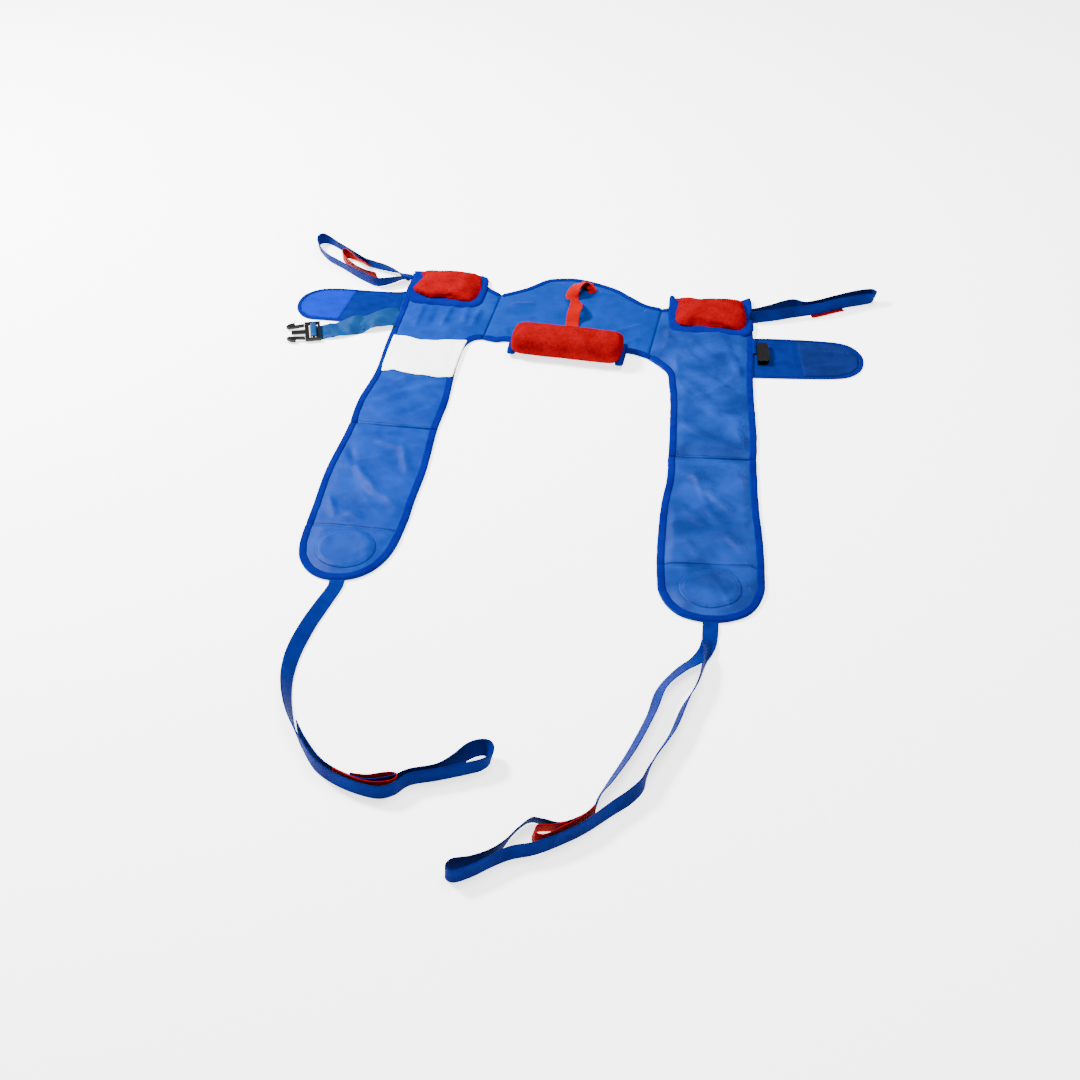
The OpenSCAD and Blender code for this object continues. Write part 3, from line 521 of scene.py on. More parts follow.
right_leg = Quilt(
    right_end, RIGHT_AT, seed=5.0, crumple=2.2,
    seams=[[(-73, -530), (80, -530)], [(-95, -826), (95, -826)]],
    creases=[((-50, -570), (20, -640), 12, 1.5), ((-20, -620), (50, -700), 10, 1.7),
             ((-60, -660), (0, -740), 11, 1.3),
             ((20, -740), (60, -800), 9, 1.6), ((-50, -760), (-10, -815), 9, 1.2),
             ((40, -560), (66, -640), 8, 1.1)])
back = Quilt(
    np.concatenate([back_top, back_low]), BACK_AT, seed=6.0, crumple=0.5,
    seams=[[(-160, 150), (-160, -17)], [(160, 160.5), (160, -22)]],
    creases=[((-149, 140), (-149, -5), 5, 1.5), ((-136, 112), (-80, 122), 8, 1.0),
             ((-130, 62), (-70, 72), 7, 0.8),
             ((150, 150), (150, -10), 5, 1.4), ((60, 34), (142, 92), 7, 1.0), ((100, 4), (142, 48), 7, 1.0),
             ((-130, 30), (-112, -6), 6, 0.9), ((122, 30), (136, -4), 6, 0.9)])


def beside_seams(quilt):
    rows = []
    for s in quilt.seams:
        line = evenly(np.array(s), 4*MM)
        normal = inward(line)
        rows += [line + normal*k*MM for k in (-6, -3.5, -1.5, 0, 1.5, 3.5, 6)]
    return np.concatenate(rows) if rows else None


def quilted(name, quilt, material, zone, *nodes, pitch=5*MM):
    piece = shell(name, quilt.loop, quilt.height, lambda p: np.full(len(p), quilt.low), pitch,
                  beside_seams(quilt))
    piece.data.materials.append(material)
    piece.data.materials.append(lining)
    belongs(piece, zone, "shell_fabric", *nodes)
    return piece


quilted("back_pad", back, shell_back, "back", "back_outer_fabric", "back_foam", "back_lining")
for side, panel, leg, material in (("left", left_panel, left_leg, shell_left),
                                   ("right", right_panel, right_leg, shell_right_painted_shade)):
    quilted(f"{side}_side_pad", panel, material, f"{side}_panel",
            *[f"{side}_panel_{layer}" for layer in ("outer", "foam", "lining")])
    quilted(f"{side}_leg_pad", leg, material, f"{side}_leg",
            *[f"{side}_leg_{layer}" for layer in ("outer", "foam", "lining")], f"{side}_strap_anchor")

# %% [markdown]
# Edge tape is folded over the edge and sewn through, so it follows the pad's own height, puckers a
# little between stitches, and has a round outer edge. It is swept as a closed section along the edge.


# %% Edge tape
def swept(name, rings):
    """A closed skin through rings of points, with a UV map in metres along and around it."""
    count, size = len(rings), len(rings[0])
    points = np.concatenate(rings)
    faces = [(i*size + k, i*size + (k + 1) % size, (i + 1)*size + (k + 1) % size, (i + 1)*size + k)
             for i in range(count - 1) for k in range(size)]
    faces += [tuple(range(size)), tuple(reversed(range((count - 1)*size, count*size)))]
    mesh = bpy.data.meshes.new(name)
    mesh.from_pydata(points.tolist(), [], faces)
    centre = np.array([r.mean(0) for r in rings])
    along = np.concatenate([[0], np.cumsum(np.linalg.norm(np.diff(centre, axis=0), axis=1))])
    first = rings[len(rings)//2]
    around = np.concatenate([[0], np.cumsum(np.linalg.norm(np.diff(first, axis=0), axis=1))])
    piece = finished(name, mesh)
    layer = mesh.uv_layers.new(name="UVMap")
    for polygon in mesh.polygons:
        ids = [mesh.loops[l].vertex_index for l in polygon.loop_indices]
        wraps = max(i % size for i in ids) - min(i % size for i in ids) > 1
        for l, i in zip(polygon.loop_indices, ids):
            k = i % size
            layer.data[l].uv = (around[k] if not (wraps and k == 0) else around[-1] + 0.001,
                                along[min(i//size, count - 1)])
    return piece


def edge_tape(name, quilt, path, width=12.5, thick=0.9):
    path = evenly(path, 3.5*MM)
    normal = inward(path)
    wobble = ripple(path, 0.022, quilt.seed + 3)*0.9*MM
    pucker = ripple(path, 0.007, quilt.seed + 5)*0.35*MM
    outer = path - normal*(0.3*MM + wobble[:, None])
    rings = []
    widths = (2, width*0.45, width*0.78, width)
    tops = {w: quilt.height(path + normal*w*MM) for w in widths}
    low, middle, high = widths[:3]
    for i, p in enumerate(outer):
        n = normal[i]
        lift = thick*MM + pucker[i]
        section = [(width, tops[width][i] - 0.2*MM), (width, tops[width][i] + lift*0.85),
                   (high, tops[high][i] + lift*1.1), (middle, tops[middle][i] + lift*1.25),
                   (low, tops[low][i] + lift*0.9),
                   (0.6, tops[2][i]*0.86 + 0.2*MM), (0.0, tops[2][i]*0.5), (0.6, 0.0007), (2, 0.0002),
                   (width - 1, 0.0002), (width - 1, 0.0010), (3, 0.0012), (3, tops[2][i] - 0.9*MM)]
        rings.append(np.array([[*(p + n*w*MM), z] for w, z in section]))
    return swept(name, rings)


def taped(name, quilt, path, zone, *nodes, material=tape, **sizes):
    piece = edge_tape(name, quilt, path, **sizes)
    piece.data.materials.append(material)
    return belongs(piece, zone, "binding_tape", *nodes)


taped("back_top_tape", back, back_top, "back", "back_top_binding")
taped("back_low_tape", back, back_low, "back", "back_lower_binding")
for side, panel, leg, top, inner, end in (("left", left_panel, left_leg, left_top, left_inner, left_end),
                                          ("right", right_panel, right_leg, right_top, right_inner,
                                           right_end)):
    taped(f"{side}_top_tape", panel, top, f"{side}_panel", f"{side}_panel_binding")
    taped(f"{side}_inner_tape", panel, inner, f"{side}_panel", f"{side}_panel_binding")
    taped(f"{side}_leg_tape", leg, end, f"{side}_leg", f"{side}_leg_binding")

# %% [markdown]
# Stitches are made by Geometry Nodes: a seam line becomes a curve, is cut at an even pitch, and gets a
# small flattened bead of thread at each point, turned along the line. One tree serves every seam.


# %% The stitch tree
def stitch_tree():
    tree = bpy.data.node_groups.new("stitches", "GeometryNodeTree")
    tree.interface.new_socket("Seam", in_out="INPUT", socket_type="NodeSocketGeometry")
    for name, value in (("Pitch", 0.0045), ("Length", 0.0032), ("Thickness", 0.0008)):
        socket = tree.interface.new_socket(name, in_out="INPUT", socket_type="NodeSocketFloat")
        socket.default_value = value
    tree.interface.new_socket("Thread", in_out="INPUT", socket_type="NodeSocketMaterial")
    tree.interface.new_socket("Stitches", in_out="OUTPUT", socket_type="NodeSocketGeometry")
    new, link = tree.nodes.new, tree.links.new
    given, result = new("NodeGroupInput"), new("NodeGroupOutput")
    curve, cut = new("GeometryNodeMeshToCurve"), new("GeometryNodeResampleCurve")
    cut.mode = "LENGTH"
    bead, stand = new("GeometryNodeMeshIcoSphere"), new("GeometryNodeInstanceOnPoints")
    bead.inputs["Radius"].default_value = 0.5
    bead.inputs["Subdivisions"].default_value = 1
    tangent, turn = new("GeometryNodeInputTangent"), new("FunctionNodeAlignRotationToVector")
    turn.axis = "X"
    size, real = new("ShaderNodeCombineXYZ"), new("GeometryNodeRealizeInstances")
    paint = new("GeometryNodeSetMaterial")
    link(given.outputs["Seam"], curve.inputs[0])
    link(curve.outputs[0], cut.inputs["Curve"])
    link(given.outputs["Pitch"], cut.inputs["Length"])
    link(cut.outputs[0], stand.inputs["Points"])
    link(bead.outputs["Mesh"], stand.inputs["Instance"])
    link(tangent.outputs[0], turn.inputs["Vector"])
    link(turn.outputs[0], stand.inputs["Rotation"])
    link(given.outputs["Length"], size.inputs[0])
    link(given.outputs["Thickness"], size.inputs[1])
    link(given.outputs["Thickness"], size.inputs[2])
    link(size.outputs[0], stand.inputs["Scale"])
    link(stand.outputs[0], real.inputs[0])
    link(real.outputs[0], paint.inputs["Geometry"])
    link(given.outputs["Thread"], paint.inputs["Material"])
    link(paint.outputs[0], result.inputs[0])
    return tree


STITCHES = stitch_tree()


def sewn(name, lines, zone, thread=None, pitch=4.6, length=3.2, thick=0.8, slot="binding_tape"):
    points, edges = [], []
    for line in lines:
        edges += [(len(points) + i, len(points) + i + 1) for i in range(len(line) - 1)]
        points += [tuple(p) for p in line]
    mesh = bpy.data.meshes.new(name)
    mesh.from_pydata(points, edges, [])
    seam = bpy.data.objects.new(name, mesh)
    bpy.context.scene.collection.objects.link(seam)
    modifier = seam.modifiers.new("stitches", "NODES")
    modifier.node_group = STITCHES
    inputs = {s.name: s.identifier for s in STITCHES.interface.items_tree if s.in_out == "INPUT"}
    for key, value in (("Pitch", pitch*MM), ("Length", length*MM), ("Thickness", thick*MM),
                       ("Thread", thread or thread_blue)):
        modifier[inputs[key]] = value
    bpy.context.view_layer.update()
    made = bpy.data.meshes.new_from_object(seam.evaluated_get(bpy.context.evaluated_depsgraph_get()))
    bpy.data.objects.remove(seam)
    made.name = name
    piece = bpy.data.objects.new(name, made)
    bpy.context.scene.collection.objects.link(piece)
    return belongs(piece, zone, slot)


def on_tape(quilt, path, inset=9.6, lift=1.15):
    path = evenly(path, 4*MM)
    line = path + inward(path)*inset*MM
    return np.c_[line, quilt.height(line) + lift*MM]


def on_pad(quilt, path, lift=0.15):
    path = evenly(np.array(path), 4*MM)
    return np.c_[path, quilt.height(path) + lift*MM]


# %% Seams of the quilted pieces
sewn("back_seams", [on_tape(back, back_top), on_tape(back, back_low)], "back")
for side, at, panel, leg, top, inner, end in (
        ("left", LEFT_AT, left_panel, left_leg, left_top, left_inner, left_end),
        ("right", RIGHT_AT, right_panel, right_leg, right_top, right_inner, right_end)):
    sewn(f"{side}_panel_seams", [on_tape(panel, top), on_tape(panel, inner),
                                 on_pad(panel, place(at, [(-70, -525), (66, -525)]))], f"{side}_panel")
    sewn(f"{side}_leg_seams", [on_tape(leg, end), on_pad(leg, place(at, [(-74, -829), (66, -829)])),
                               on_pad(leg, place(at, [(-74, -823), (66, -823)]))], f"{side}_leg")

# %% [markdown]
# The disc near each leg's end is a doubled layer of the shell cloth, held by a ring of stitches
# that pulls it down near its rim.


# %% Reinforcing discs
def circle(at, x, y, radius, count=72):
    return place(at, [(x + radius*math.cos(2*math.pi*k/count), y + radius*math.sin(2*math.pi*k/count))
                      for k in range(count)])


DISC_Y, DISC_RADIUS, STITCH_RADIUS = -882, 50, 45.5
DISC_X = {"left": -6, "right": 0}
for side, at, leg, material in (("left", LEFT_AT, left_leg, shell_left),
                                ("right", RIGHT_AT, right_leg, shell_right_painted_shade)):
    middle = place(at, [(DISC_X[side], DISC_Y)])[0]
    rim = circle(at, DISC_X[side], DISC_Y, DISC_RADIUS)

    def over(p, leg=leg, middle=middle):
        r = np.linalg.norm(p - middle, axis=1)
        swell = 1.8*eased((0.050 - r)/0.004) - 1.5*np.exp(-((r - 0.0455)/0.0022)**2)
        return leg.height(p) + (0.25 + swell)*MM

    disc = shell(f"{side}_disc", rim, over, lambda p, leg=leg: leg.height(p) - 0.3*MM, 3*MM)
    disc.data.materials.append(material)
    disc.data.materials.append(material)
    belongs(disc, f"{side}_leg", "shell_fabric", f"{side}_reinforcing_disc")
    ring = circle(at, DISC_X[side], DISC_Y, STITCH_RADIUS)
    ring = np.concatenate([ring, ring[:1]])
    sewn(f"{side}_disc_seam", [np.c_[ring, over(ring) + 0.1*MM]], f"{side}_leg", slot="shell_fabric")

# %% [markdown]
# Stuffed pieces are blown up with a short cloth simulation: the starting shape is a little slack, air
# pressure swells it, and a cap stops any point from wandering. The result is kept as a plain mesh.


# %% Blowing up a stuffed piece
def blown(piece, voxel, pressure, cap, floor=None, steps=20):
    remesh = piece.modifiers.new("even net", "REMESH")
    remesh.mode = "VOXEL"
    remesh.voxel_size = voxel*MM
    bpy.context.view_layer.update()
    net = bpy.data.meshes.new_from_object(piece.evaluated_get(bpy.context.evaluated_depsgraph_get()))
    piece.modifiers.clear()
    piece.data = net
    start = np.array([v.co[:] for v in net.vertices])
    pressed = piece.modifiers.new("cloth", "CLOTH")
    settings = pressed.settings
    settings.use_pressure = True
    settings.uniform_pressure_force = pressure
    settings.effector_weights.gravity = 0
    settings.quality = 5
    settings.mass = 0.3
    pressed.point_cache.frame_start = 1
    pressed.point_cache.frame_end = steps
    scene = bpy.context.scene
    for number in range(1, steps + 1):
        scene.frame_set(number)
    out = piece.evaluated_get(bpy.context.evaluated_depsgraph_get())
    moved = np.array([v.co[:] for v in out.data.vertices]) - start
    piece.modifiers.clear()
    scene.frame_set(1)
    size = np.linalg.norm(moved, axis=1)
    start = start + moved*np.minimum(1, cap*MM/np.maximum(size, 1e-9))[:, None]
    if floor is not None:
        start[:, 2] = np.maximum(start[:, 2], floor*MM)
    net.vertices.foreach_set("co", start.ravel())
    net.polygons.foreach_set("use_smooth", [True]*len(net.polygons))
    for _ in range(2):
        relax(net)
    if floor is not None:
        for v in net.vertices:
            v.co.z = max(v.co.z, floor*MM)
    round_off = piece.modifiers.new("round", "SUBSURF")
    round_off.levels = round_off.render_levels = 1
    bpy.context.view_layer.update()
    fine = bpy.data.meshes.new_from_object(piece.evaluated_get(bpy.context.evaluated_depsgraph_get()))
    piece.modifiers.clear()
    piece.data = fine
    print(piece.name, "blown to", [round(v*1000, 1) for v in piece.dimensions])
    return piece


def relax(mesh):
    work = bmesh.new()
    work.from_mesh(mesh)
    bmesh.ops.smooth_vert(work, verts=work.verts, factor=0.5, use_axis_x=True, use_axis_y=True,
                          use_axis_z=True)
    work.to_mesh(mesh)
    work.free()


# %% [markdown]
# The arm pads are red cushions laid over the top edge of each leg piece. The blue tape runs round
# three sides and lies as a flat border of a few to fifteen millimetres, widest at the lower edge.


# %% Arm pads
PAD_FLOOR = 5.6
PAD_RIM = {
    "left": [(64, 3), (79, -14), (81, -88), (72, -112), (52, -123), (20, -122), (0, -120), (-24, -122),
             (-50, -118),
             (-66, -104), (-77, -74), (-72, -12), (-66, 3)],
    "right": [(56, -12), (70, 1), (80, -1), (83, -84), (82, -116), (66, -136), (30, -135), (0, -132),
              (-30, -134),
              (-56, -132), (-74, -118), (-80, -88), (-80, -4), (-70, 1), (-56, -12)]}
PAD_RED = {
    "left": [(62, 4), (73, -26), (72, -84), (60, -104), (40, -108), (12, -106), (-20, -108), (-40, -103),
             (-60, -88),
             (-70, -66), (-62, -24), (-57, 4)],
    "right": [(62, -6), (72, -28), (77, -86), (67, -116), (52, -125), (20, -122), (-20, -118), (-50, -118),
              (-66, -108),
              (-74, -86), (-70, -28), (-62, -6)]}


def pad_border(name, at, rim):
    """The flat tape border under and round the cushion."""
    loop = evenly(smooth(place(at, rim + rim[:1]), 5), 4*MM)[:-1]

    def top(p):
        d = distance(p, loop, True)
        return (PAD_FLOOR + 1.2 + 1.6*eased(d/0.004) + 0.35*ripple(p, 0.010, 4))*MM
    return shell(name, loop, top, lambda p: np.full(len(p), PAD_FLOOR*MM), 4*MM)


def arm_pad(name, at, edge_of_red):
    loop = evenly(smooth(place(at, edge_of_red + edge_of_red[:1]), 5), 5*MM)[:-1]

    def top(p):
        d = distance(p, loop, True)
        return (PAD_FLOOR + 1.5 + 12.0*(1 - np.exp(-d/0.016)) + 0.8*ripple(p, 0.035, 9))*MM
    piece = shell(name, loop, top, lambda p: np.full(len(p), (PAD_FLOOR + 0.6)*MM), 5*MM)
    return blown(piece, 4, 4, 6, PAD_FLOOR + 0.5)


for side, at in (("left", LEFT_AT), ("right", RIGHT_AT)):
    cushion = arm_pad(f"{side}_arm_cushion", at, PAD_RED[side])
    cushion.data.materials.clear()
    cushion.data.materials.append(red_cover)
    belongs(cushion, f"{side}_side", "red_fabric", f"{side}_arm_pad_cover", f"{side}_arm_pad_foam")
    border = pad_border(f"{side}_arm_border", at, PAD_RIM[side])
    border.data.materials.append(tape)
    border.data.materials.append(tape)
    belongs(border, f"{side}_side", "binding_tape", f"{side}_arm_pad_binding")
    rim = evenly(smooth(place(at, PAD_RIM[side]), 5), 4*MM)
    line = rim + inward(rim)*5*MM
    sewn(f"{side}_arm_seam", [np.c_[line, np.full(len(line), (PAD_FLOOR + 3.0)*MM)]], f"{side}_side")

# %% [markdown]
# The roll on the lower edge is a red sleeve round thick foam. Its section is a flattened round and
# its ends are pinched into blue tape.

# %% Padded roll
ROLL_X, ROLL_Y, ROLL_HALF = 7, -31, 104


def roll_ring(x, scale_y, scale_z, count=44, drop=0.0):
    ring = []
    for k in range(count):
        a = 2*math.pi*k/count
        c, s = math.cos(a), math.sin(a)
        y = ROLL_Y + 40*scale_y*math.copysign(abs(c)**0.8, c)
        z = 24.5 + drop + 23.0*scale_z*math.copysign(abs(s)**0.8, s)
        ring.append((*place(BACK_AT, [(x + ROLL_X, y)])[0], z*MM))
    return np.array(ring)


rings = []
for k in range(-12, 13):
    x = ROLL_HALF*math.sin(k/12*math.pi/2)
    pinch = 1 - 0.24*max(0, (abs(x) - 84)/20)**2.4
    rings.append(roll_ring(x, pinch, pinch*0.97))
roll = swept("back_roll", rings)
roll = blown(roll, 5, 4, 6, 0.4)
roll.data.materials.clear()
roll.data.materials.append(red_cover)
belongs(roll, "back", "red_fabric", "back_roll_cover", "back_roll_foam")
for side, sign in (("left", -1), ("right", 1)):
    sleeve = [(ROLL_HALF - 8, 0.84), (ROLL_HALF - 4, 0.88), (ROLL_HALF + 1, 0.88), (ROLL_HALF + 5, 0.85),
              (ROLL_HALF + 6, 0.81),
              (ROLL_HALF + 1, 0.76), (ROLL_HALF - 6, 0.74)]
    rings = [roll_ring(sign*x, s, s*0.40, drop=-14.5) for x, s in sleeve]
    cuff = swept(f"back_roll_{side}_tape", rings)
    cuff.data.materials.append(tape)
    belongs(cuff, "back", "binding_tape", "back_roll_end_binding")

# %% [markdown]
# Webbing is a flat band with rounded edges, swept along rows of x, y, z and roll, close to the CAD's
# own rows. Roll 0 lies flat and roll 90 stands on its edge. A strap this stiff keeps the curves it
# was dropped in, so it is modelled directly. Only a flat strip of the right shoulder's red loop
# shows under its strap.

# %% Bands of webbing
WEB_W, WEB_T = 25, 1.8


def band_rows(route, width, thick, steps=8, lift=True):
    rows = smooth(route, steps)
    if lift:
        roll = np.radians(rows[:, 3])
        sink = width/2*np.abs(np.sin(roll)) + thick/2*np.abs(np.cos(roll)) + 0.1
        rows[:, 2] = np.maximum(rows[:, 2], sink)
    return rows


def band_axes(rows):
    centre = rows[:, :3]
    ahead = np.gradient(centre, axis=0)
    ahead /= np.linalg.norm(ahead, axis=1)[:, None]
    side = np.cross(ahead, [0, 0, 1])
    side /= np.linalg.norm(side, axis=1)[:, None]
    up = np.cross(side, ahead)
    roll = np.radians(rows[:, 3])[:, None]
    wide = np.cos(roll)*side + np.sin(roll)*up
    return centre, ahead, wide, np.cross(ahead, wide)


def band(name, rows, width, thick, wave=None):
    centre, ahead, wide, flat = band_axes(rows)
    w, t = width/2, thick/2
    section = [(-w, 0), (-w + 0.35, t*0.75), (-w + 1.2, t)] + [(w*k/3, t) for k in (-2, -1, 0, 1, 2)]
    section += [(w - 1.2, t), (w - 0.35, t*0.75), (w, 0), (w - 0.35, -t*0.75), (w - 1.2, -t)]
    section += [(w*k/3, -t) for k in (2, 1, 0, -1, -2)] + [(-w + 1.2, -t), (-w + 0.35, -t*0.75)]
    along = np.concatenate([[0], np.cumsum(np.linalg.norm(np.diff(centre, axis=0), axis=1))])
    rings = []
    for i in range(len(rows)):
        ring = np.array([centre[i] + wide[i]*a + flat[i]*(b + (wave(along[i], a) if wave else 0))
                         for a, b in section])
        ring[:, 2] = np.maximum(ring[:, 2], 0.1)
        rings.append(ring*MM)
    return swept(name, rings)


LEFT_LEG_ROUTE = [
    [-377, -664, 1.6, 0], [-380, -680, 1.9, 0], [-383, -695, 2.4, 0], [-386, -713, 2.2, 0],
    [-403, -760, 3.5, 10], [-419, -808, 5, 16], [-432, -865, 7.5, 30],
    [-436, -915, 9.6, 44], [-433, -955, 10.6, 54], [-425, -995, 11.6, 64], [-414, -1030, 12.2, 76],
    [-398, -1065, 12.6, 86], [-374, -1106, 12.6, 90], [-336, -1137, 12.6, 90], [-290, -1156, 12.6, 90],
    [-264, -1151, 12.6, 90], [-242, -1132, 12.6, 90], [-204, -1123, 12.6, 90], [-165, -1112, 12.6, 90],
    [-142, -1104, 12.6, 88], [-129, -1090, 11.6, 76], [-136, -1070, 10, 56], [-157, -1074, 10, 60],
    [-182, -1098, 12, 80], [-206, -1114, 12.6, 90], [-242, -1123, 12.6, 90], [-266, -1136, 12.6, 90],
    [-300, -1142, 12.6, 90], [-334, -1129, 12.6, 90], [-366, -1104, 12.6, 90], [-392, -1064, 12.6, 90],
    [-409, -1028, 12.6, 90]]
LEFT_LEG_RED = [
    [-348, -1122, 13.6, 90], [-318, -1140, 13.6, 90], [-291, -1148, 13.6, 88], [-268, -1144, 13.6, 80],
    [-262, -1134, 13, 72], [-276, -1133, 13, 72], [-300, -1137, 13.6, 80], [-324, -1132, 13.6, 88]]
RIGHT_LEG_ROUTE = [
    [204, -764, 1.6, 0], [203, -780, 1.9, 0], [202, -796, 2.4, 0], [200, -816, 2.4, 0],
    [197, -838, 3.4, 18], [192, -862, 7, 48], [186, -885, 10.5, 78],
    [172, -936, 12, 100], [150, -982, 10.9, 116], [129, -1038, 10.9, 118], [104, -1084, 10.9, 113],
    [89, -1118, 12, 96], [80, -1143, 12.6, 82], [62, -1165, 12.6, 76], [37, -1186, 12.6, 80],
    [0, -1219, 12.6, 88],
    [-33, -1240, 12.6, 90], [-67, -1256, 12.6, 86], [-100, -1264, 12.6, 84], [-125, -1278, 12.6, 90],
    [-150, -1294, 12.6, 90], [-174, -1304, 12.6, 90], [-185, -1296, 12.6, 88], [-177, -1284, 12.6, 90],
    [-152, -1279, 12.6, 90], [-128, -1267, 12.6, 84], [-110, -1250, 12, 76], [-94, -1226, 11.4, 66],
    [-74, -1206, 11.4, 64], [-56, -1211, 12, 74], [-33, -1221, 12.6, 90], [-4, -1208, 12.6, 90],
    [13, -1188, 12.6, 84], [21, -1163, 12, 68], [36, -1136, 11, 56], [69, -1074, 10.4, 50],
    [100, -1002, 10.4, 50], [118, -948, 9.6, 44], [148, -908, 8, 30], [174, -884, 6, 18], [190, -860, 4, 6],
    [197, -838, 3, 0]]
RIGHT_LEG_RED = [
    [14, -1192, 13.6, 90], [-6, -1212, 13.6, 90], [-32, -1230, 13.6, 90], [-55, -1243, 13.6, 90],
    [-68, -1238, 13.2, 84], [-66, -1222, 12.4, 72], [-46, -1220, 12.4, 70], [-24, -1219, 13.6, 80]]
LEFT_SHOULDER_ROUTE = [
    [-318, 240, 4.6, 180], [-332, 250, 6, 165], [-347, 258, 9, 135], [-370, 270, 11, 118],
    [-393, 281, 12, 112],
    [-413, 293, 12, 110], [-434, 316, 12, 110], [-455, 339, 12, 110], [-472, 357, 12, 110],
    [-495, 382, 12, 104], [-511, 389, 12.6, 90], [-519, 375, 12.6, 86], [-512, 347, 12, 76],
    [-493, 313, 12, 70],
    [-464, 284, 12, 68], [-436, 254, 12, 72], [-412, 232, 12, 76], [-386, 213, 12, 74],
    [-360, 219, 11, 64], [-340, 230, 9, 48], [-327, 236, 6, 30]]
LEFT_SHOULDER_RED = [
    [-388, 237, 11, 114], [-410, 249, 11, 114], [-431, 267, 11, 112], [-449, 289, 11.4, 106],
    [-460, 309, 12, 98], [-463, 322, 12.6, 90], [-454, 325, 12, 78], [-439, 313, 10.5, 60],
    [-423, 298, 9.6, 48], [-409, 287, 9.2, 46]]
RIGHT_SHOULDER_ROUTE = [
    [344, 78, 12.6, 96], [358, 79, 12.6, 98], [376, 83, 12.6, 96], [400, 88, 12.6, 92], [430, 97, 12.6, 90],
    [455, 100, 14.6, 90], [482, 107, 15.6, 90], [512, 120, 15.6, 90], [545, 133, 14.6, 90],
    [575, 145, 12.6, 88], [590, 149, 12.2, 80], [598, 156, 11.8, 74], [590, 164, 12.2, 80],
    [562, 156, 14.6, 88],
    [528, 141, 15.6, 90], [500, 128, 15.6, 90], [480, 119, 15.6, 90], [455, 112, 15.6, 90],
    [434, 120, 16.6, 90], [414, 116, 15.6, 90], [390, 105, 14.6, 92], [364, 95, 13.6, 94],
    [348, 91, 12.6, 96]]
RIGHT_SHOULDER_RED = [
    [466, 107.5, 1.4, 0], [482, 112.5, 1.4, 0], [512, 126, 1.4, 0], [530, 133, 1.4, 0]]

# %% [markdown]
# Each strap is tacked where its runs meet, so short bars of stitches cross the band there.


# %% Straps and their red loops
def tack(rows, fraction, width=WEB_W, thick=WEB_T, face=1, gap=3.0):
    centre, ahead, wide, flat = band_axes(rows)
    i = int(fraction*(len(rows) - 1))
    lines = []
    for shift in (-gap, gap):
        row = [centre[i] + ahead[i]*shift + wide[i]*a + flat[i]*face*(thick/2 + 0.15)
               for a in np.linspace(-width/2 + 2.5, width/2 - 2.5, 6)]
        lines.append(np.array(row)*MM)
    return lines


STRAPS = (("left_leg", "left_loop", LEFT_LEG_ROUTE, LEFT_LEG_RED, "left_leg_strap", "left_leg_red_loop"),
          ("right_leg", "right_loop", RIGHT_LEG_ROUTE, RIGHT_LEG_RED, "right_leg_strap",
           "right_leg_red_loop"),
          ("left_shoulder", "left_shoulder", LEFT_SHOULDER_ROUTE, LEFT_SHOULDER_RED,
           "left_shoulder_strap", "left_shoulder_red_loop"),
          ("right_shoulder", "right_shoulder", RIGHT_SHOULDER_ROUTE, RIGHT_SHOULDER_RED,
           "right_shoulder_strap", "right_shoulder_red_loop"))
for name, zone, route, red, strap_node, red_node in STRAPS:
    rows = band_rows(route, WEB_W, WEB_T)
    strap = band(f"{name}_webbing", rows, WEB_W, WEB_T)
    strap.data.materials.append(strap_blue)
    belongs(strap, zone, "loop_webbing", strap_node)
    red_rows = band_rows(red, WEB_W, WEB_T)
    loop = band(f"{name}_red_webbing", red_rows, WEB_W, WEB_T)
    loop.data.materials.append(strap_red)
    belongs(loop, zone, "red_webbing", red_node)
    tacks = [line for f in (0.03, 0.4, 0.6, 0.97) for face in (-1, 1) for line in tack(rows, f, face=face)]
    sewn(f"{name}_tacks", tacks, zone, pitch=2.6, length=2.2, thick=0.7, slot="loop_webbing")
    length = float(np.linalg.norm(np.diff(rows[:, :3], axis=0), axis=1).sum())
    print(name, "webbing is", round(length/1000, 3), "m long, red loop",
          round(float(np.linalg.norm(np.diff(red_rows[:, :3], axis=0), axis=1).sum())/1000, 3), "m")

# %% [markdown]
# The carrying handle is red webbing sewn down near the top edge and behind the roll. Between them it
# stands in two humps and is twisted a little, with its spare end curled over at the top.

# %% Carrying handle
HANDLE = [
    [2, 222, 7, 4], [0, 214, 8.5, -4], [-3, 205, 13, -14], [-7, 192, 22, -22], [-13, 176, 24, -18],
    [-18, 160, 17, -2], [-16, 146, 12, 14], [-8, 130, 18, 24], [-2, 113, 25, 20], [0, 96, 27, 8],
    [-2, 80, 20, 0],
    [-1, 64, 10, 0], [0, 50, 7.8, 0], [1, 30, 7.8, 0]]


def handle_rows(points):
    rows = np.array(points, float)
    rows[:, :2] = place(BACK_AT, rows[:, :2])/MM
    return rows


rows = smooth(handle_rows(HANDLE), 8)
handle = band("carrying_handle", rows, WEB_W, WEB_T)
handle.data.materials.append(strap_red)
belongs(handle, "back", "red_webbing", "grab_handle")
CURL = [[-12, 202, 11, 0], [-4, 203, 12.5, 0], [4, 202, 12.5, 0], [11, 198, 11, 0], [15, 193, 8.6, 0],
        [13, 190, 7.4, 0],
        [8, 189, 7.2, 0]]
curl_rows = smooth(handle_rows(CURL), 8)
curl = band("handle_curl", curl_rows, 18, 1.6)
curl.data.materials.append(strap_red)
belongs(curl, "back", "red_webbing")
sewn("handle_tacks", tack(rows, 0.04, face=1) + tack(rows, 0.93, face=1), "back", thread=thread_red,
     pitch=2.6,
     length=2.2, thick=0.7, slot="red_webbing")

# %% [markdown]
# The belt wings are thin quilted flaps sewn under the outer edge of each leg piece. The left one
# carries a bright patch of hook tape at its tip, the right one a dark patch of loop tape.

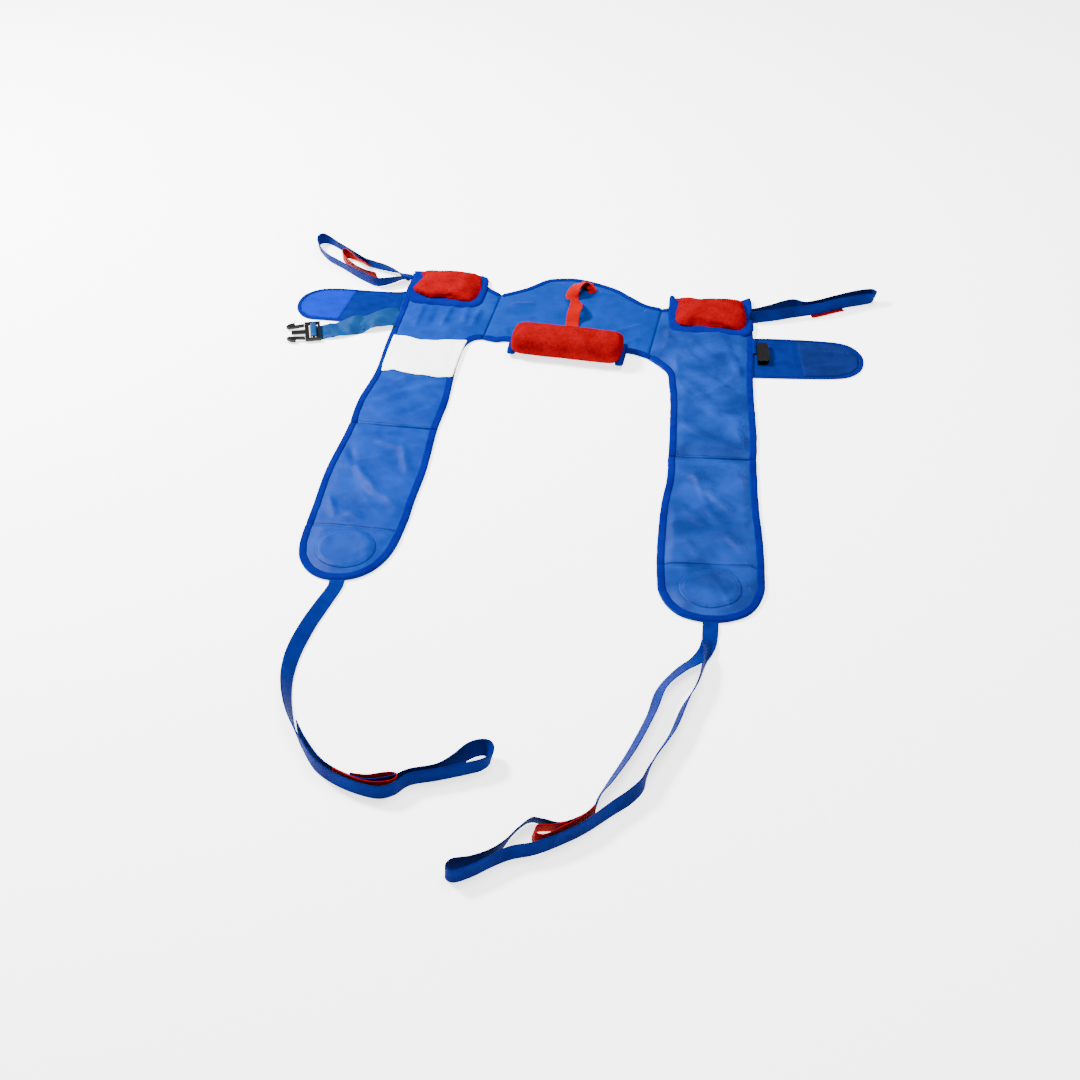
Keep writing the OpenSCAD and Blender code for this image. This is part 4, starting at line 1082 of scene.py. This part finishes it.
# %% Belt wings
left_wing_edge = edge(WORLD_AT, [(-321, 198), (-345, 193), (-408, 199), (-455, 206), (-496, 204),
                                 (-526, 184),
                                 (-538, 150), (-533, 118), (-514, 95), (-478, 88), (-440, 82), (-400, 74),
                                 (-338, 74)])[::-1]
right_wing_edge = edge(WORLD_AT, [(341, 21), (395, 19), (450, 14), (505, 5), (532, -12), (546, -45),
                                  (541, -82),
                                  (522, -106), (495, -117), (430, -118), (331, -114)])
left_wing = Quilt(left_wing_edge, WORLD_AT, edge_t=1.6, puff=0.7, soft=0.35, seed=8.0, low=0.3,
                  creases=[((-400, 190), (-345, 150), 8, 1.2), ((-430, 150), (-350, 120), 9, 1.0)])
right_wing = Quilt(right_wing_edge, WORLD_AT, edge_t=1.6, puff=0.8, soft=0.5, seed=9.0, low=0.3,
                   seams=[[(424, 30), (424, -130)]],
                   creases=[((440, -30), (530, -40), 7, 1.3), ((350, -70), (410, -60), 8, 1.1),
                            ((440, -80), (520, -78), 8, 1.0), ((360, -10), (415, -20), 6, 1.0)])
for side, quilt, path, nodes in (("left", left_wing, left_wing_edge,
                                  ("left_belt_wing", "left_wing_binding")),
                                 ("right", right_wing, right_wing_edge,
                                  ("right_belt_wing", "right_wing_binding"))):
    flap = quilted(f"{side}_wing_pad", quilt, wing_cloth, f"{side}_wing", nodes[0], pitch=4*MM)
    taped(f"{side}_wing_tape", quilt, path, f"{side}_wing", nodes[1], width=7, thick=0.45)
    sewn(f"{side}_wing_seam", [on_tape(quilt, path, 5.4, 0.65)], f"{side}_wing")


def patch(name, quilt, loop, material, zone, node, slot, lift=0.6):
    loop = evenly(np.concatenate([place(WORLD_AT, loop), place(WORLD_AT, loop[:1])]), 4*MM)[:-1]

    def top(p):
        d = distance(p, loop, True)
        return quilt.height(p) + (0.2 + lift*eased(d/0.002))*MM
    piece = shell(name, loop, top, lambda p: quilt.height(p) - 0.15*MM, 4*MM)
    piece.data.materials.append(material)
    piece.data.materials.append(material)
    belongs(piece, zone, slot, node)
    ring = evenly(np.concatenate([loop, loop[:1]]), 4*MM)
    turn = 1 if inside(ring[:1] + inward(ring)[:1]*3*MM, loop)[0] else -1
    line = ring + inward(ring)*turn*3*MM
    sewn(f"{name}_seam", [np.c_[line, top(line) + 0.1*MM]], zone, slot=slot)
    return piece


patch("hook_patch", left_wing, [(-424, 196), (-455, 200), (-492, 198), (-518, 181), (-531, 151),
                                (-527, 120),
                                (-510, 101), (-478, 94), (-452, 91)], hook_tape, "left_wing",
                                "left_hook_patch",
      "hook_tape")
patch("loop_patch", right_wing, [(428, 9), (500, -2), (524, -18), (538, -47), (534, -79), (518, -99),
                                 (493, -110),
                                 (428, -111)], loop_tape, "right_wing", "right_loop_patch", "loop_tape")
# A line of dark thread beads along a crease of the hook patch is painted shade. It stands for the crease's
# shadow, not for a seam.
sewn("hook_patch_crease_shade_line", [np.c_[line, left_wing.height(line) + 0.9*MM] for line in
                           [evenly(place(WORLD_AT, [(-512, 166), (-446, 138)]), 4*MM)]], "left_wing",
                           slot="hook_tape")

# %% [markdown]
# The belt strap is 50 mm webbing with a shine. It lies over the wing's lower part in soft folds that
# catch the light, and ends round the bar of the buckle.

# %% Belt strap and buckle band
BELT_ROUTE = [[-336, 82, 2.2, 2], [-352, 80, 5.6, -6], [-376, 75, 6.8, -10], [-406, 65, 5.8, 8],
              [-442, 51, 4.8, 2],
              [-462, 45, 4.2, 0]]
UNDER_ROUTE = [[-334, 104, 2.4, 4], [-348, 101, 4.6, 8], [-366, 92, 4.6, 8], [-388, 79, 3.9, 2],
               [-410, 69, 3.5, 0]]


def belt_folds(s, a):
    near = math.exp(-s/45)
    return 4.0*math.sin(s/9 + a/14)*math.exp(-((s - 62)/38)**2) + 1.6*near*eased(s/14)*math.sin(a/7 + s/9) \
        + 1.5*math.sin(s/5.5 - a/20)*math.exp(-((s - 118)/20)**2)


rows = band_rows(BELT_ROUTE, 50, 1.6, steps=14)
belt = band("belt_strap_webbing", rows, 50, 1.6, belt_folds)
belt.data.materials.append(belt_cloth)
belongs(belt, "belt", "belt_webbing", "belt_strap")
under = band("belt_strap_under_ply", band_rows(UNDER_ROUTE, 44, 1.5, steps=14), 44, 1.5,
             lambda s, a: 0.8*math.sin(s/8 + a/11)*math.exp(-s/50))
under.data.materials.append(belt_cloth)
belongs(under, "belt", "belt_webbing")


def buckle_point(x, y, z):
    return np.array([*place(BUCKLE_AT, [(x, y)])[0], z*MM])


BAND_PATH = smooth([(-24, 4.4), (-14, 4.2), (-6, 2.6), (-1, 1.2), (5.8, 1.6), (8, 4.2), (8, 7.6),
                    (10, 10.0), (17, 10.0),
                    (19, 7.6), (19, 2.7)], 5)


def along_buckle(name, path, width, thick):
    ahead = np.gradient(path, axis=0)
    ahead /= np.linalg.norm(ahead, axis=1)[:, None]
    up = np.stack([-ahead[:, 1], ahead[:, 0]], axis=1)
    rings = []
    for p, u in zip(path, up):
        section = [(-1, -1), (-0.96, 1), (-0.5, 1), (0, 1), (0.5, 1), (0.96, 1), (1, -1), (0.5, -1),
                   (0, -1), (-0.5, -1)]
        rings.append(np.array([buckle_point(p[0] + u[0]*b*thick/2, a*width/2, p[1] + u[1]*b*thick/2) for a,
                               b in section]))
    return swept(name, rings)


wound = along_buckle("buckle_band", BAND_PATH, 49, 1.6)
wound.data.materials.append(belt_cloth)
belongs(wound, "buckle_band", "belt_webbing", "buckle_webbing")

# %% [markdown]
# The male half keeps its CAD shape. The female half is narrowed across the wing and moved outwards
# a little. A copy of each gets softened edges as a moulding has.


# %% Buckle halves
def moulded(name, node, zone, radius=0.6):
    copy = bpy.data.objects.new(name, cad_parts[node].data.copy())
    bpy.context.scene.collection.objects.link(copy)
    work = bmesh.new()
    work.from_mesh(copy.data)
    bmesh.ops.remove_doubles(work, verts=work.verts, dist=1e-6)
    bmesh.ops.dissolve_limit(work, angle_limit=math.radians(2), verts=work.verts, edges=work.edges)
    work.to_mesh(copy.data)
    work.free()
    soften = copy.modifiers.new("soft edges", "BEVEL")
    soften.width = radius*MM
    soften.segments = 3
    soften.limit_method = "ANGLE"
    soften.angle_limit = math.radians(35)
    bpy.context.view_layer.update()
    made = bpy.data.meshes.new_from_object(copy.evaluated_get(bpy.context.evaluated_depsgraph_get()))
    copy.modifiers.clear()
    copy.data = made
    made.polygons.foreach_set("use_smooth", [False]*len(made.polygons))
    made.materials.clear()
    made.materials.append(plastic)
    where = ZONES.get(zone, (zone,))
    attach(copy, where[0])
    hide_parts(node)
    return copy


moulded("male_buckle_body", "male_buckle_frame", "male")
moulded("upper_prong_arm", "buckle_prong_upper", "upper_prong")
moulded("lower_prong_arm", "buckle_prong_lower", "lower_prong")
socket = moulded("female_buckle_body", "female_buckle", "female", radius=0.9)
across = place((0, 0, RIGHT_AT[2]), [(1, 0)])[0]/MM
where = np.array([v.co[:] for v in socket.data.vertices])
reach = where[:, :2] @ across
low, high = reach.min(), reach.max()
NARROWER, OUTWARDS = 0.28, 2.6*MM
where[:, :2] += np.outer((low + high)/2*NARROWER - reach*NARROWER + OUTWARDS, across)
socket.data.vertices.foreach_set("co", where.ravel())
stub = band("female_buckle_webbing", np.array([
    [*(place(RIGHT_AT, [(x, -166)])[0]/MM), 4.0, 0] for x in (78.4, 82, 88)], float), 51, 1.6)
stub.data.materials.append(strap_blue)
belongs(stub, "female", "loop_webbing", "female_buckle_tab")

# %% [markdown]
# The care label is a thin sheet of white cloth sewn across the left leg piece, over its inner tape.
# It is left blank. It lies in slow waves, and its lower edge lifts off a little.

# %% Care label
LABEL = [(-66, -240), (-40, -243), (-10, -252), (20, -249), (48, -242), (76, -238), (73.5, -270),
         (72.5, -300),
         (72, -340), (72, -366), (40, -371), (4, -372), (-22, -366), (-40, -359), (-62, -365), (-65, -340),
         (-66, -290)]
label_loop = evenly(place(LEFT_AT, LABEL + LABEL[:1]), 4*MM)[:-1]


def label_top(p):
    lift = 1.5 + 0.9*ripple(p, 0.04, 12) + 0.35*ripple(p, 0.015, 15)
    return np.maximum(left_panel.height(p), 5.4*MM) + lift*MM


label = shell("blank_care_label", label_loop, label_top, lambda p: label_top(p) - 0.4*MM, 4*MM)
label.data.materials.append(label_cloth)
label.data.materials.append(label_cloth)
belongs(label, "left_side", "label", "care_label")

# %% [markdown]
# A plain pale floor that glows a little, a small key light high on the left, a broad soft light
# overhead and a pale surround, as in a small studio.
# The light on the left makes the carrying handle's soft shadow fall to its right.

# %% Floor and light
bpy.ops.mesh.primitive_plane_add(size=30, location=(0, 0, -0.0006))
floor = bpy.context.object
floor.name = "floor"
paper = bpy.data.materials.new("pale_floor")
paper.use_nodes = True
paper.node_tree.nodes["Principled BSDF"].inputs["Base Color"].default_value = (0.93, 0.93, 0.93, 1)
paper.node_tree.nodes["Principled BSDF"].inputs["Roughness"].default_value = 0.9
paper.node_tree.nodes["Principled BSDF"].inputs["Emission Color"].default_value = (1, 1, 1, 1)
paper.node_tree.nodes["Principled BSDF"].inputs["Emission Strength"].default_value = 2.0
floor.data.materials.append(paper)


def lamp(name, place_at, aim, size, power):
    light = bpy.data.lights.new(name, "AREA")
    light.size = size
    light.energy = power
    thing = bpy.data.objects.new(name, light)
    thing.location = place_at
    thing.rotation_euler = (Vector(aim) - Vector(place_at)).to_track_quat("-Z", "Y").to_euler()
    bpy.context.scene.collection.objects.link(thing)


lamp("key", (-2.1, 0.8, 2.1), (0, -0.35, 0), 0.6, 460)
lamp("fill", (0.7, 0.4, 3.4), (0, -0.4, 0), 2.2, 230)
world = bpy.context.scene.world or bpy.data.worlds.new("studio")
bpy.context.scene.world = world
world.use_nodes = True
world.node_tree.nodes["Background"].inputs["Color"].default_value = (1, 1, 1, 1)
world.node_tree.nodes["Background"].inputs["Strength"].default_value = 0.5
